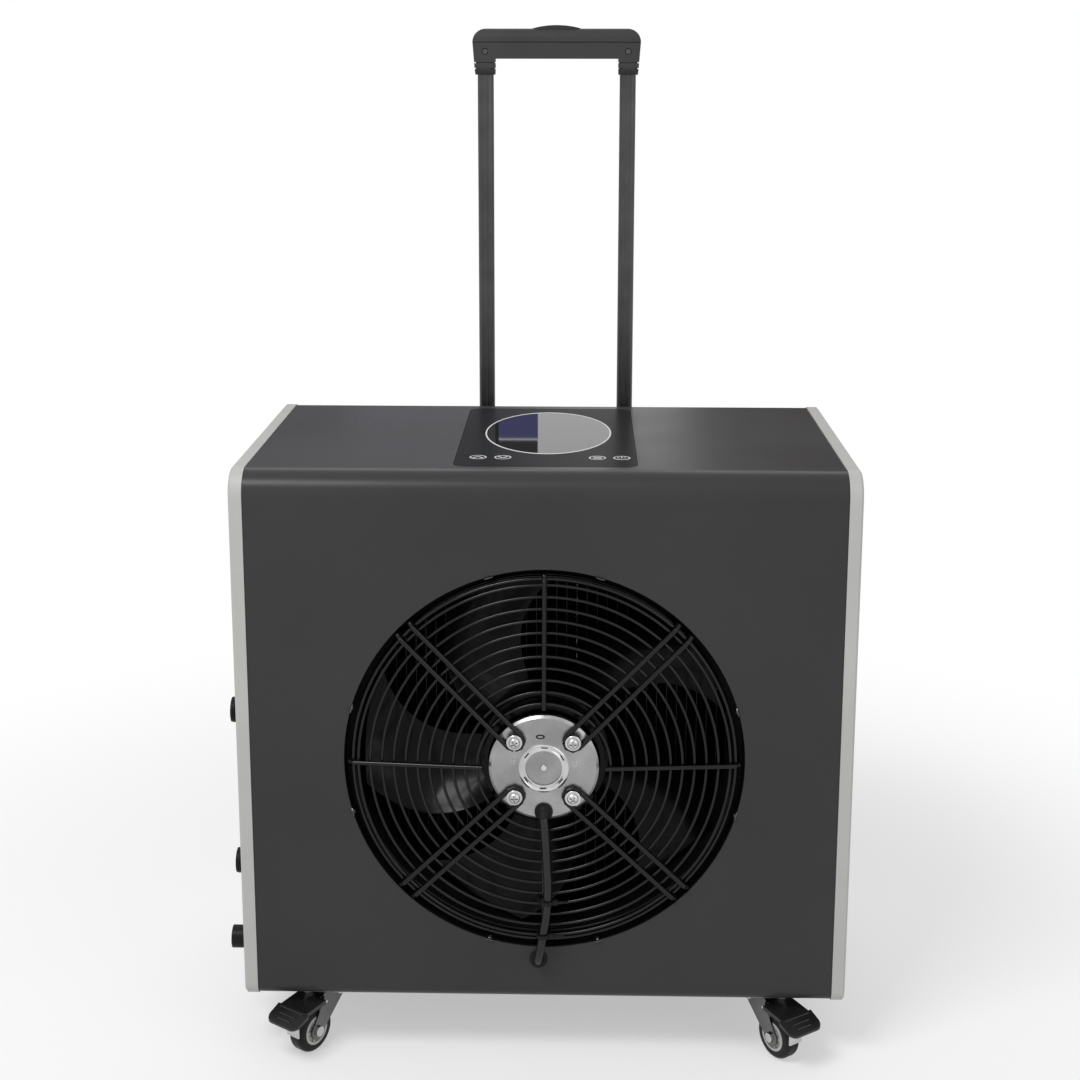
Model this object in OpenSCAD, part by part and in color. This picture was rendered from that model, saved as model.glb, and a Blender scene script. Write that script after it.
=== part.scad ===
/* [Cabinet] */
// Width over both side frames
body_w = 575; // [540:1:620]
// Depth from the front of the side frames to their back
body_d = 330; // [310:1:380]
// Height of the cabinet without its castors
body_h = 520; // [500:1:580]
// Thickness of each side frame
side_t = 12.5; // [10:0.5:16]
// Wall of the moulded side frames
side_wall = 2.4; // [2:0.1:3]
// Thickness of the sheet metal
sheet_t = 1.2; // [1:0.1:2]
// Radius of the bend along the front top edge
bend_r = 24; // [16:1:30]
// Radius of the three other long edges
edge_r = 13; // [9:1:16]
// How far the cover lies behind the rim of the side frames
cover_step = 1; // [0.5:0.1:2]
// Bevel round the outer face of each side frame
side_bevel = 2; // [1:0.1:3]

/* [Fan] */
// Diameter of the opening in the cover
fan_open_d = 374; // [340:1:390]
// How far the fan's axis lies below the middle of the cabinet
fan_drop = 17; // [10:1:24]
// Number of fan blades
blade_count = 5; // [4:1:7]
// Radial distance from the opening to the blade tips
tip_step = 15; // [13:1:20]
// Outer diameter of the rotor can
rotor_d = 115; // [105:1:120]
// Diameter of the motor's end cap
cap_d = 102; // [96:1:108]
// How far the end cap stands in front of the side frames
cap_rise = 12; // [8:1:16]
// Distance between neighbouring motor screws
screw_pitch = 54; // [48:1:60]

/* [Guard] */
// Diameter of the ring wires
ring_wire_d = 2.8; // [2:0.1:3.5]
// Diameter of the single radial wires
spoke_wire_d = 4.2; // [3:0.1:5]
// Diameter of the hairpin struts
strut_wire_d = 4.8; // [4:0.1:5.5]
// Radius of the innermost ring
ring_in_r = 62; // [60:1:66]
// Radial distance from the rim rings to the largest flat ring
rim_step = 5; // [4:0.5:8]
// Number of flat rings
ring_count = 11; // [8:1:13]
// Radial distance from the opening to the stacked rim rings
rim_gap = 9; // [8:0.5:10]
// How much deeper the rim lies than the motor cap's face
guard_rise = 11; // [8:0.5:14]

/* [Control panel] */
// Width of the glass panel
panel_w = 170; // [150:1:190]
// Distance from the glass to the back of the cabinet
panel_back = 25; // [22:1:40]
// Distance from the front of the side frames to the glass
panel_y = 31; // [30:1:36]
// Width of the display window
display_w = 126; // [110:1:134]
// Length of the display window
display_l = 200; // [150:1:210]

/* [Handle] */
// How far the handle sits to the right of the middle
handle_x = 5; // [0:1:8]
// Distance between the two tubes
tube_spacing = 150; // [140:1:156]
// Width of each tube
tube_w = 17; // [15:0.5:19]
// Thickness of each tube from front to back
tube_d = 12; // [10:0.5:14]
// Distance from the back of the cabinet to the tubes' centre
tube_back = 18; // [16:1:22]
// Height of the grip's top above the cabinet's top
handle_reach = 401; // [380:1:420]
// How far the handle slides down
handle_travel = 340; // [300:1:345]
// Height of the release button above the grip
button_rise = 3.5; // [2:0.5:4]
// How far the release button travels
button_travel = 4; // [3:0.5:4]

/* [Castors] */
// Height of the side frames above the floor
castor_h = 62; // [60:1:65]
// Distance of each swivel axis from the middle
castor_x = 214; // [200:1:225]
// Distance of the front swivel axes from the front
castor_y = 34; // [34:1:40]
// Angle at which the castors trail outwards
castor_angle = 35; // [20:1:45]
// Distance from swivel axis to wheel axle
castor_trail = 24; // [22:1:26]
// Diameter of each wheel
wheel_d = 45; // [43:1:46]
// Width of each tyre
tyre_w = 17; // [15:0.5:18]
// Diameter of each hub
hub_d = 29; // [26:1:30]
// Distance from swivel axis to the end of the brake pedal
pedal_reach = 65; // [62:1:68]
// Width of each brake pedal
pedal_w = 40; // [36:1:42]

/* [Connections] */
// How far the water spigots stand out of the left side frame
spigot_reach = 33; // [30:1:44]
// Outer diameter of the water spigots
spigot_d = 25.4; // [22:0.1:28]
// Bore of the water spigots
spigot_bore = 18; // [14:0.5:19]
// Height of the lower spigot above the cabinet's underside
inlet_z = 72; // [68:1:80]
// Height of the upper spigot above the cabinet's underside
outlet_z = 237; // [225:1:300]
// Distance of the spigots from the back of the cabinet
spigot_back = 185; // [180:1:188]
// Diameter of the motor cable
cable_d = 8; // [7:0.5:9]
// Bore of the mains cable gland
gland_bore = 9; // [7:0.5:10]

/* [Hidden] */
$fn = 64;
// Overrun of every cut past its face
over = 1;
// Gap between pieces that stay together
seat_gap = 0.3;
// Radial clearance of a shaft or a pressed ring
run_gap = 0.05;

// Places that follow the cabinet's height and depth
plenum_drop = 53;
coil_gap = 8;
comp_back = 98;
evap_back = 92;
fan_z = body_h / 2 - fan_drop;
rim_r = fan_open_d / 2 - rim_gap;
ring_out_r = rim_r - rim_step;
blade_tip_d = fan_open_d - 2 * tip_step;
plenum_h = 2 * (body_h - fan_z - plenum_drop);
coil_h = plenum_h - 2 * coil_gap;
panel_d = body_d - panel_y - panel_back;
spigot_y = body_d - spigot_back;
comp_y = body_d - comp_back;
evap_y = body_d - evap_back;
vent_y = comp_y;

// Frame: the origin is the middle of the overall box, on the floor
inner_w = body_w - 2 * side_t;
cover_in = cover_step + sheet_t;
castor_top = castor_h + cover_step;
grip_d = 30;
pedal_corner = 8;
pedal_side = pedal_w / 2 - pedal_corner;
pedal_end = (pedal_reach - pedal_corner) * cos(castor_angle) + pedal_corner;
pedal_front = pedal_end + pedal_side * sin(castor_angle) - castor_y;
grip_back = tube_back + grip_d / 2;
frame_x = spigot_reach / 2;
frame_y = (pedal_front - body_d - grip_back) / 2;

module place() {
  translate([frame_x, frame_y, 0]) children();
}
module on_body() {
  place() translate([0, 0, castor_h]) children();
}
module on_fan() {
  on_body() translate([0, 0, fan_z]) rotate([-90, 0, 0]) children();
}
module on_castor(sx, sy) {
  place() translate([sx * castor_x, sy < 0 ? castor_y : body_d - castor_y, castor_top])
    rotate([0, 0, sy * (90 - sx * castor_angle)]) children();
}

// Tools for round rods that follow a line of points
function unit(v) = v / norm(v);
function turn(a, b) = acos(max(-1, min(1, a * b)));
module rod(p, q, r) {
  v = q - p;
  translate(p) rotate([0, acos(v[2] / norm(v)), atan2(v[1], v[0])]) cylinder(h = norm(v), r = r);
}
module elbow(p, a, b, bend, r) {
  n = unit(b - (a * b) * a);
  w = cross(-n, a);
  c = p - a * bend * tan(turn(a, b) / 2) + n * bend;
  multmatrix([
    [-n[0], a[0], w[0], c[0]],
    [-n[1], a[1], w[1], c[1]],
    [-n[2], a[2], w[2], c[2]],
    [0, 0, 0, 1]
  ]) rotate_extrude(angle = turn(a, b)) translate([bend, 0]) circle(r);
}
module bent_rod(pts, bend, r) {
  last = len(pts) - 1;
  cut = [for (i = [0:last]) i == 0 || i == last ? 0 :
    bend * tan(turn(unit(pts[i] - pts[i - 1]), unit(pts[i + 1] - pts[i])) / 2)];
  for (i = [0:last - 1]) {
    u = unit(pts[i + 1] - pts[i]);
    rod(pts[i] + u * cut[i], pts[i + 1] - u * cut[i + 1], r);
  }
  for (i = [1:last - 1])
    elbow(pts[i], unit(pts[i] - pts[i - 1]), unit(pts[i + 1] - pts[i]), bend, r);
}

// Tools for wires with tight bends: each corner is a ball a hair wider than the wire
ball_over = 0.1;
ball_trim = 0.6;
module ball(p, r) {
  translate(p) sphere(r + ball_over);
}
module wire_path(pts, r) {
  last = len(pts) - 1;
  for (i = [0:last - 1]) {
    u = unit(pts[i + 1] - pts[i]);
    rod(pts[i] + u * (i == 0 ? 0 : ball_trim), pts[i + 1] - u * (i == last - 1 ? 0 : ball_trim), r);
  }
  for (i = [1:last - 1]) ball(pts[i], r);
}

// Tools for a tube swept along a curve: one closed skin of triangles
function catmull(a, b, c, d, t) =
  ((2 * b) + (c - a) * t + (2 * a - 5 * b + 4 * c - d) * t * t + (3 * b - a - 3 * c + d) * t * t * t) / 2;
function smooth_route(p, steps) = concat(
  [for (i = [0:len(p) - 2]) for (s = [0:steps - 1])
    catmull(p[max(i - 1, 0)], p[i], p[i + 1], p[min(i + 2, len(p) - 1)], s / steps)],
  [p[len(p) - 1]]
);
function tangent(p, i) = unit(p[min(i + 1, len(p) - 1)] - p[max(i - 1, 0)]);
function side_axis(t, hint) = unit(cross(t, hint));
module swept_tube(pts, r, sides, hint) {
  rings = [for (i = [0:len(pts) - 1])
    let (t = tangent(pts, i), u = side_axis(t, hint), v = cross(t, u))
      for (k = [0:sides - 1]) pts[i] + r * (cos(360 * k / sides) * u + sin(360 * k / sides) * v)];
  last = (len(pts) - 1) * sides;
  polyhedron(rings, concat(
    [[for (k = [0:sides - 1]) sides - 1 - k]],
    [for (i = [0:len(pts) - 2]) for (k = [0:sides - 1])
      [i * sides + k, i * sides + (k + 1) % sides, (i + 1) * sides + (k + 1) % sides]],
    [for (i = [0:len(pts) - 2]) for (k = [0:sides - 1])
      [i * sides + k, (i + 1) * sides + (k + 1) % sides, (i + 1) * sides + k]],
    [[for (k = [0:sides - 1]) last + k]]
  ));
}

// Side outline of the cabinet, depth along x and height along y
module corner_cut(x, y, r, dx, dy) {
  translate([x, y]) difference() {
    translate([dx > 0 ? -over : -r, dy > 0 ? -over : -r]) square(r + over);
    translate([dx * r, dy * r]) circle(r);
  }
}
module profile(inset) {
  d = body_d - 2 * inset;
  h = body_h - 2 * inset;
  translate([inset, inset]) difference() {
    square([d, h]);
    corner_cut(0, h, bend_r - inset, 1, -1);
    corner_cut(d, h, edge_r - inset, -1, -1);
    corner_cut(0, 0, edge_r - inset, 1, 1);
    corner_cut(d, 0, edge_r - inset, -1, 1);
  }
}
module slab(x0, w) {
  translate([x0, 0, 0]) rotate([90, 0, 90]) linear_extrude(w) children();
}
module rounded(w, d, r) {
  translate([-w / 2, r - d / 2]) square([w, d - 2 * r]);
  translate([r - w / 2, -d / 2]) square([w - 2 * r, d]);
  for (sx = [-1, 1])
    for (sy = [-1, 1])
      translate([sx * (w / 2 - r), sy * (d / 2 - r)]) circle(r);
}
module slot(l, w) {
  square([l - w, w], center = true);
  for (s = [-1, 1]) translate([s * (l - w) / 2, 0]) circle(d = w);
}

// Cover: one sheet that wraps the front and the top, with short returns
cover_lip = 13;
panel_gap = 0.4;
panel_corner = 12;
cable_hole_drop = 12;
cable_hole_z = fan_z - fan_open_d / 2 - cable_hole_drop;
cable_hole_x = -5;
cable_hole_d = 15;
module front_top_cover() {
  color([0.24, 0.24, 0.24]) on_body() difference() {
    slab(-inner_w / 2, inner_w) difference() {
      profile(cover_step);
      profile(cover_in);
      translate([cover_lip, -over]) square([body_d, body_h - cover_lip + over]);
    }
    translate([0, -over, fan_z]) rotate([-90, 0, 0]) cylinder(h = cover_in + 2 * over, d = fan_open_d);
    translate([0, panel_y + panel_d / 2, body_h - cover_in - over])
      linear_extrude(cover_in + 2 * over)
        rounded(panel_w + 2 * panel_gap, panel_d + 2 * panel_gap, panel_corner + panel_gap);
    translate([cable_hole_x, -over, cable_hole_z])
      rotate([-90, 0, 0]) cylinder(h = cover_in + 2 * over, d = cable_hole_d);
  }
}

// Side frames: deep moulded panels with a bevelled outer edge and vent slots
vent_l = 96;
vent_w = 6;
vent_pitch = 15;
vent_rows = 9;
vent_z = 330;
module vent_slots() {
  for (i = [0:vent_rows - 1])
    translate([vent_y, vent_z + i * vent_pitch]) slot(vent_l, vent_w);
}
module side_shell() {
  difference() {
    union() {
      slab(-body_w / 2 + side_bevel, side_t - side_bevel) profile(0);
      hull() {
        slab(-body_w / 2 + side_bevel, side_bevel / 4) profile(0);
        slab(-body_w / 2, side_bevel / 4) profile(side_bevel);
      }
    }
    slab(-body_w / 2 + side_wall, side_t) profile(side_wall);
    slab(-body_w / 2 - over, side_wall + 2 * over) vent_slots();
  }
}
module spigot_holes() {
  for (z = [inlet_z, outlet_z])
    translate([-body_w / 2 - over, spigot_y, z])
      rotate([0, 90, 0]) cylinder(h = side_wall + 2 * over, d = spigot_d + 2 * seat_gap);
  translate([-body_w / 2 - over, drain_y, drain_z])
    rotate([0, 90, 0]) cylinder(h = side_wall + 2 * over, d = drain_d + 2 * seat_gap);
}
module side_frame_left() {
  color([0.72, 0.72, 0.7]) on_body() difference() {
    side_shell();
    spigot_holes();
  }
}
module side_frame_right() {
  color([0.72, 0.72, 0.7]) on_body() mirror([1, 0, 0]) side_shell();
}

// Rear panel: flat sheet with returns and rows of intake slots
rear_top = body_h - cover_lip - seat_gap;
rear_bottom = edge_r + sheet_t;
intake_l = 128;
intake_w = 5;
intake_pitch = 16;
intake_rows = 23;
intake_cols = 3;
intake_gap = 152;
intake_z = 74;
gland_x = 215;
gland_z = 42;
gland_d = 20;
module rear_panel() {
  flange = 12;
  color([0.3, 0.3, 0.31]) on_body() difference() {
    translate([-inner_w / 2, body_d - cover_in, rear_bottom]) union() {
      cube([inner_w, sheet_t, rear_top - rear_bottom]);
      translate([0, -flange, 0]) cube([inner_w, flange + sheet_t, sheet_t]);
    }
    for (c = [0:intake_cols - 1])
      for (i = [0:intake_rows - 1])
        translate([(c - (intake_cols - 1) / 2) * intake_gap, body_d, intake_z + i * intake_pitch])
          rotate([90, 0, 0]) linear_extrude(cover_in + over) slot(intake_l, intake_w);
    translate([gland_x, body_d - cover_in - over, gland_z])
      rotate([-90, 0, 0]) cylinder(h = sheet_t + 2 * over, d = gland_d + 2 * run_gap);
  }
}

// Base pan: floor tray that carries the castors and the machinery
pan_gap = 2;
pan_y = cover_lip + pan_gap;
pan_wall = 22;
module base_pan() {
  pan_d = body_d - 2 * pan_y;
  color([0.35, 0.35, 0.36]) on_body() difference() {
    translate([-inner_w / 2, pan_y, cover_step]) cube([inner_w, pan_d, pan_wall]);
    translate([sheet_t - inner_w / 2, pan_y + sheet_t, cover_in])
      cube([inner_w - 2 * sheet_t, pan_d - 2 * sheet_t, pan_wall]);
    for (sx = [-1, 1])
      for (y = [castor_y, body_d - castor_y])
        translate([sx * castor_x, y, cover_step - over]) plate_holes(sheet_t + 2 * over);
  }
}
floor_z = cover_in;

// Fan shroud: bell mouth, ledge for the guard, throat and plenum box
mouth_r = fan_open_d / 2 - seat_gap;
shroud_wall = 2;
flange_w = 14;
flange_r = mouth_r + flange_w;
ledge_y = 19;
tip_gap = 5;
throat_r = blade_tip_d / 2 + tip_gap;
throat_end = 74;
plenum_w = 468;
coil_y = 96;
module fan_shroud() {
  color([0.07, 0.07, 0.07]) {
    on_fan() difference() {
      rotate_extrude() polygon([
        [mouth_r, cover_in], [flange_r, cover_in], [flange_r, cover_in + shroud_wall],
        [mouth_r + shroud_wall, cover_in + shroud_wall], [mouth_r + shroud_wall, ledge_y + shroud_wall],
        [throat_r + 2 * shroud_wall, ledge_y + shroud_wall],
        [throat_r + shroud_wall, ledge_y + 2 * shroud_wall],
        [throat_r + shroud_wall, throat_end], [throat_r, throat_end],
        [throat_r, ledge_y + shroud_wall], [throat_r + shroud_wall, ledge_y], [mouth_r, ledge_y]
      ]);
      translate([cable_hole_x, fan_z - cable_hole_z, 0])
        cylinder(h = cover_in + shroud_wall + over, d = grommet_d + 2 * grommet_lip);
    }
    on_body() difference() {
      translate([-plenum_w / 2, throat_end - shroud_wall, fan_z - plenum_h / 2])
        cube([plenum_w, coil_y - throat_end + shroud_wall, plenum_h]);
      translate([shroud_wall - plenum_w / 2, throat_end, fan_z - plenum_h / 2 + shroud_wall])
        cube([plenum_w - 2 * shroud_wall, coil_y, plenum_h - 2 * shroud_wall]);
      translate([0, throat_end - shroud_wall - over, fan_z])
        rotate([-90, 0, 0]) cylinder(h = shroud_wall + 2 * over, r = throat_r);
    }
  }
}

// Wire guard: a shallow dome of rings, four spokes and four hairpin struts
strut_share = 0.15;
strut_half = screw_pitch * strut_share;
screw_r = screw_pitch / sqrt(2);
strut_front = -cap_rise - strut_wire_d / 2;
strut_rim = strut_front + guard_rise;
rim_wire_d = 3.4;
rim_depths = [0, 7.5, 15];
rim_y = ledge_y - seat_gap - rim_wire_d / 2 - rim_depths[2];
weld = 0.8;
hook_r = rim_r + (rim_wire_d + strut_wire_d) / 2 - weld;
clear_r = hook_r + weld + run_gap;
function strut_y(r) = strut_front + guard_rise * (r - screw_r) / (hook_r - hook_bend - screw_r);
function ring_y(r) = strut_y(r) + (strut_wire_d + ring_wire_d) / 2 - weld;
hook_bend = 4;
hook_end = rim_y + rim_depths[2];
spoke_in_r = 57;
module ring_wire(r, y, d) {
  translate([0, 0, y]) rotate_extrude() translate([r, 0]) circle(d = d, $fn = 24);
}
module hairpin() {
  leg = [[clear_r, strut_rim + hook_bend], [clear_r - hook_bend, strut_rim]];
  wire_path(concat(
    [[clear_r, strut_half, hook_end]],
    [for (p = leg) [p[0], strut_half, p[1]]],
    [for (a = [90:45:270]) [screw_r + strut_half * cos(a), strut_half * sin(a), strut_front]],
    [for (k = [1:-1:0]) [leg[k][0], -strut_half, leg[k][1]]],
    [[clear_r, -strut_half, hook_end]]
  ), strut_wire_d / 2);
}
module spoke() {
  lift = (strut_wire_d - spoke_wire_d) / 2;
  wire_path([
    [spoke_in_r, 0, strut_y(spoke_in_r) + lift],
    [hook_r - hook_bend, 0, strut_rim + lift],
    [hook_r - lift, 0, strut_rim + hook_bend],
    [hook_r - lift, 0, hook_end]
  ], spoke_wire_d / 2);
}
module fan_guard() {
  color([0.09, 0.09, 0.09]) on_fan() {
    for (i = [0:ring_count - 1]) {
      r = ring_in_r + (ring_out_r - ring_in_r) * i / (ring_count - 1);
      ring_wire(r, ring_y(r), ring_wire_d);
    }
    for (y = rim_depths) ring_wire(rim_r, rim_y + y, rim_wire_d);
    for (a = [45:90:315]) rotate([0, 0, a]) hairpin();
    for (a = [0:90:270]) rotate([0, 0, a]) spoke();
  }
}

// Fan motor: external rotor round a fixed stator on the end cap's neck
cap_t = 7;
cap_bevel = 2.5;
cap_face_r = 23;
cap_disc_r = 17;
cap_relief = 1.2;
neck_r = 15;
neck_end = 52;
shaft_r = 6;
stator_r = 44;
stator_y = 6;
stator_l = 40;
rotor_wall = 5;
rotor_front = 1;
rotor_back = 58;
cap_back = cap_t - cap_rise;
grommet_z = -43;
grommet_d = 15;
module motor_cap() {
  color([0.75, 0.75, 0.74]) on_fan() difference() {
    rotate_extrude() polygon([
      [0, -cap_rise + cap_relief], [cap_disc_r, -cap_rise + cap_relief], [cap_disc_r, -cap_rise],
      [cap_face_r, -cap_rise], [cap_face_r + cap_relief, -cap_rise + cap_relief / 2],
      [cap_d / 2 - cap_bevel, -cap_rise + cap_relief / 2], [cap_d / 2, -cap_rise + cap_bevel],
      [cap_d / 2, cap_back], [neck_r, cap_back], [neck_r, neck_end], [0, neck_end]
    ]);
    translate([0, 0, cap_back - over]) cylinder(h = neck_end - cap_back + 2 * over, r = shaft_r + run_gap);
    for (a = [45:90:315]) rotate([0, 0, a]) translate([screw_r, 0, -cap_rise])
      translate([0, 0, -over]) cylinder(h = cap_t + 2 * over, r = screw_shank_r + run_gap);
    translate([0, -grommet_z, -cap_rise - over]) cylinder(h = cap_t + 2 * over, d = grommet_d);
  }
}
module motor_stator() {
  slots = 12;
  slot_w = 5;
  color([0.35, 0.22, 0.12]) on_fan() difference() {
    translate([0, 0, stator_y]) cylinder(h = stator_l, r = stator_r);
    translate([0, 0, stator_y - over]) cylinder(h = stator_l + 2 * over, r = neck_r + run_gap);
    for (k = [0:slots - 1]) rotate([0, 0, k * 360 / slots])
      translate([stator_r - stator_wind, -slot_w / 2, stator_y - over])
        cube([stator_r, slot_w, stator_l + 2 * over]);
  }
}
stator_wind = 10;
module motor_shaft() {
  color([0.6, 0.6, 0.6]) on_fan() translate([0, 0, cap_back])
    cylinder(h = rotor_back - rotor_wall - cap_back, r = shaft_r);
}
module fan_rotor() {
  rotor_r = rotor_d / 2;
  groove = 1.5;
  color([0.1, 0.1, 0.1]) on_fan() rotate_extrude() polygon([
    [0, rotor_back], [rotor_r - rotor_wall, rotor_back], [rotor_r, rotor_back - rotor_wall],
    [rotor_r, rotor_front + 3 * groove], [rotor_r - groove, rotor_front + 3 * groove],
    [rotor_r - groove, rotor_front + 2 * groove], [rotor_r, rotor_front + 2 * groove],
    [rotor_r, rotor_front], [rotor_r - rotor_wall, rotor_front],
    [rotor_r - rotor_wall, rotor_back - rotor_wall], [0, rotor_back - rotor_wall]
  ]);
}

// Fan impeller: hub ring and lofted blades, swept and twisted along the span
hub_wall = 4;
hub_front = 22;
hub_back = 56;
blade_mid_y = 41;
blade_sections = 8;
blade_points = 7;
blade_thick = 2.4;
root_chord = 62;
tip_chord = 112;
root_pitch = 38;
tip_pitch = 17;
blade_sweep = 26;
blade_camber_share = 0.09;
edge_share = 0.35;
blade_phase = 55;
function blade_shell(s, t, side) =
  let (
    root_r = rotor_d / 2 + hub_wall / 2,
    r = root_r + (blade_tip_d / 2 - root_r) * s,
    chord = root_chord + (tip_chord - root_chord) * s,
    pitch = root_pitch + (tip_pitch - root_pitch) * s,
    along = (t - 0.5) * chord,
    bow = blade_camber_share * chord * (1 - pow(2 * t - 1, 2)),
    thick = blade_thick * (edge_share + (1 - edge_share) * (1 - pow(2 * t - 1, 2))) / 2,
    across = bow + side * thick,
    arc = along * cos(pitch) - across * sin(pitch),
    axial = along * sin(pitch) + across * cos(pitch),
    turn_deg = (arc / r) * 180 / PI + blade_sweep * s * s
  )
  [r * cos(turn_deg), r * sin(turn_deg), blade_mid_y + axial];
module blade() {
  ns = blade_sections;
  np = blade_points;
  ring = 2 * np;
  pts = [for (i = [0:ns]) for (k = [0:ring - 1])
    k < np ? blade_shell(i / ns, k / (np - 1), 1) : blade_shell(i / ns, (ring - 1 - k) / (np - 1), -1)];
  top = ns * ring;
  polyhedron(pts, concat(
    [for (k = [0:np - 2]) [k + 1, k, ring - 1 - k]],
    [for (k = [0:np - 2]) [ring - 2 - k, k + 1, ring - 1 - k]],
    [for (i = [0:ns - 1]) for (k = [0:ring - 1])
      [i * ring + k, i * ring + (k + 1) % ring, (i + 1) * ring + k]],
    [for (i = [0:ns - 1]) for (k = [0:ring - 1])
      [(i + 1) * ring + k, i * ring + (k + 1) % ring, (i + 1) * ring + (k + 1) % ring]],
    [for (k = [0:np - 2]) [top + k, top + k + 1, top + ring - 1 - k]],
    [for (k = [0:np - 2]) [top + k + 1, top + ring - 2 - k, top + ring - 1 - k]]
  ));
}
module fan_impeller() {
  color([0.12, 0.12, 0.12]) on_fan() {
    difference() {
      translate([0, 0, hub_front]) cylinder(h = hub_back - hub_front, d = rotor_d + 2 * hub_wall);
      translate([0, 0, hub_front - over])
        cylinder(h = hub_back - hub_front + 2 * over, r = rotor_d / 2 + run_gap);
    }
    for (k = [0:blade_count - 1]) rotate([0, 0, k * 360 / blade_count - blade_phase]) blade();
  }
}

// Screws that hold the hairpins on the cap and the shroud on the cover
screw_shank_r = 3;
screw_washer_d = 14.6;
screw_washer_t = 1.4;
screw_head_d = 9.5;
screw_head_h = 3.6;
head_share = 0.8;
module motor_screw() {
  seat = -cap_rise - strut_wire_d - seat_gap;
  translate([screw_r, 0, seat]) {
    translate([0, 0, -screw_washer_t]) cylinder(h = screw_washer_t, d = screw_washer_d);
    translate([0, 0, -screw_washer_t - screw_head_h])
      cylinder(h = screw_head_h, d1 = screw_head_d * head_share, d2 = screw_head_d);
    cylinder(h = strut_wire_d + cap_t + seat_gap, r = screw_shank_r);
  }
}
module fan_screws() {
  color([0.8, 0.8, 0.8]) on_fan() for (a = [45:90:315]) rotate([0, 0, a]) motor_screw();
}

// Motor cable: out of the cap, down the guard, through the cover and up inside to the control box
grommet_lip = 2;
cable_route = [
  [0, -3, 200], [0, -11, 200], [0, -17, 197], [1, -20, 187], [2, -19, 172], [3, -17, 150], [4, -15, 125],
  [3, -13, 100], [0, -12, 78], [-3, -12, 60], [-5, -9, 48], [-5, -3, 44], [-5, 4, 44], [0, 14, 40],
  [20, 22, 32], [60, 24, 30], [150, 26, 30], [225, 26, 34], [246, 30, 60], [248, 34, 110],
  [248, 36, 200], [248, 38, 300], [248, 42, 400], [242, 48, 460], [220, 54, 492], [180, 58, 502],
  [130, 60, 502], [92.3, 60, 502]
];
module fan_cable() {
  color([0.06, 0.06, 0.06]) on_body()
    swept_tube(smooth_route(cable_route, 3), cable_d / 2 - run_gap, 10, [0.2, 0.9, 0.35]);
}
module grommet_ring(len_y) {
  rotate([-90, 0, 0]) difference() {
    union() {
      translate([0, 0, -grommet_lip]) cylinder(h = grommet_lip - run_gap, d = grommet_d + grommet_lip);
      translate([0, 0, -grommet_lip]) cylinder(h = len_y + grommet_lip, d = grommet_d - 2 * run_gap);
    }
    translate([0, 0, -grommet_lip - over])
      cylinder(h = len_y + grommet_lip + 2 * over, d = cable_d + 2 * seat_gap);
  }
}
module cable_grommets() {
  color([0.04, 0.04, 0.04]) on_body() {
    translate([0, -cap_rise + cap_relief / 2, fan_z + grommet_z]) grommet_ring(cap_t);
    translate([cable_hole_x, cover_step, cable_hole_z]) grommet_ring(sheet_t + grommet_lip);
  }
}
tie_places = [[3.2, -13.6, 108], [-0.5, -12, 73]];
tie_w = 3.6;
tie_t = 1.2;
tie_head = 4.5;
tie_gap = 0.9;
tie_tail = 14;
module cable_ties() {
  loop_d = cable_d + 2 * tie_gap;
  color([0.05, 0.05, 0.05]) on_body() for (p = tie_places) {
    back = strut_y(fan_z - p[2]);
    reach = norm([p[0], p[1] - back]);
    translate(p) {
      rotate([0, 0, atan2(back - p[1], -p[0])]) translate([reach / 2, 0, 0])
        difference() {
          linear_extrude(tie_w) slot(reach + loop_d + 2 * tie_t, loop_d + 2 * tie_t);
          translate([0, 0, -over]) linear_extrude(tie_w + 2 * over) slot(reach + loop_d, loop_d);
        }
      translate([loop_d / 2 + tie_t / 2, -tie_head / 2, -tie_t / 4])
        cube([tie_head, tie_head, tie_w + tie_t / 2]);
      translate([loop_d / 2 + tie_t, -tie_t / 2, tie_w / 4]) cube([tie_tail, tie_t, tie_w / 2]);
    }
  }
}

// Condenser: fin pack on horizontal tubes with return bends outside the end plates
coil_w = 452;
coil_d = 30;
coil_rows = 9;
fin_count = 45;
fin_t = 0.6;
coil_tube_r = 4.8;
end_plate_t = 1.5;
module condenser_coil() {
  row_gap = coil_h / coil_rows;
  bottom = fan_z - coil_h / 2;
  mid_y = coil_y + coil_d / 2;
  color([0.6, 0.6, 0.62]) on_body() {
    for (i = [0:fin_count - 1])
      translate([(i + 1) * coil_w / (fin_count + 1) - coil_w / 2, coil_y + over, bottom])
        cube([fin_t, coil_d - 2 * over, coil_h]);
    for (s = [-1, 1])
      translate([s * (coil_w / 2 + end_plate_t / 2) - end_plate_t / 2, coil_y, floor_z])
        cube([end_plate_t, coil_d, bottom + coil_h - floor_z]);
    for (i = [0:coil_rows - 1]) {
      z = bottom + (i + 0.5) * row_gap;
      rod([-coil_w / 2 - 2 * coil_tube_r, mid_y, z], [coil_w / 2 + 2 * coil_tube_r, mid_y, z], coil_tube_r);
    }
    for (i = [0:coil_rows - 2]) {
      s = i % 2 == 0 ? 1 : -1;
      translate([s * (coil_w / 2 + 2 * coil_tube_r), mid_y, bottom + (i + 1) * row_gap])
        rotate([90, 0, 0]) rotate([0, 0, s > 0 ? -90 : 90])
          rotate_extrude(angle = 180) translate([row_gap / 2, 0]) circle(coil_tube_r);
    }
  }
}

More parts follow.
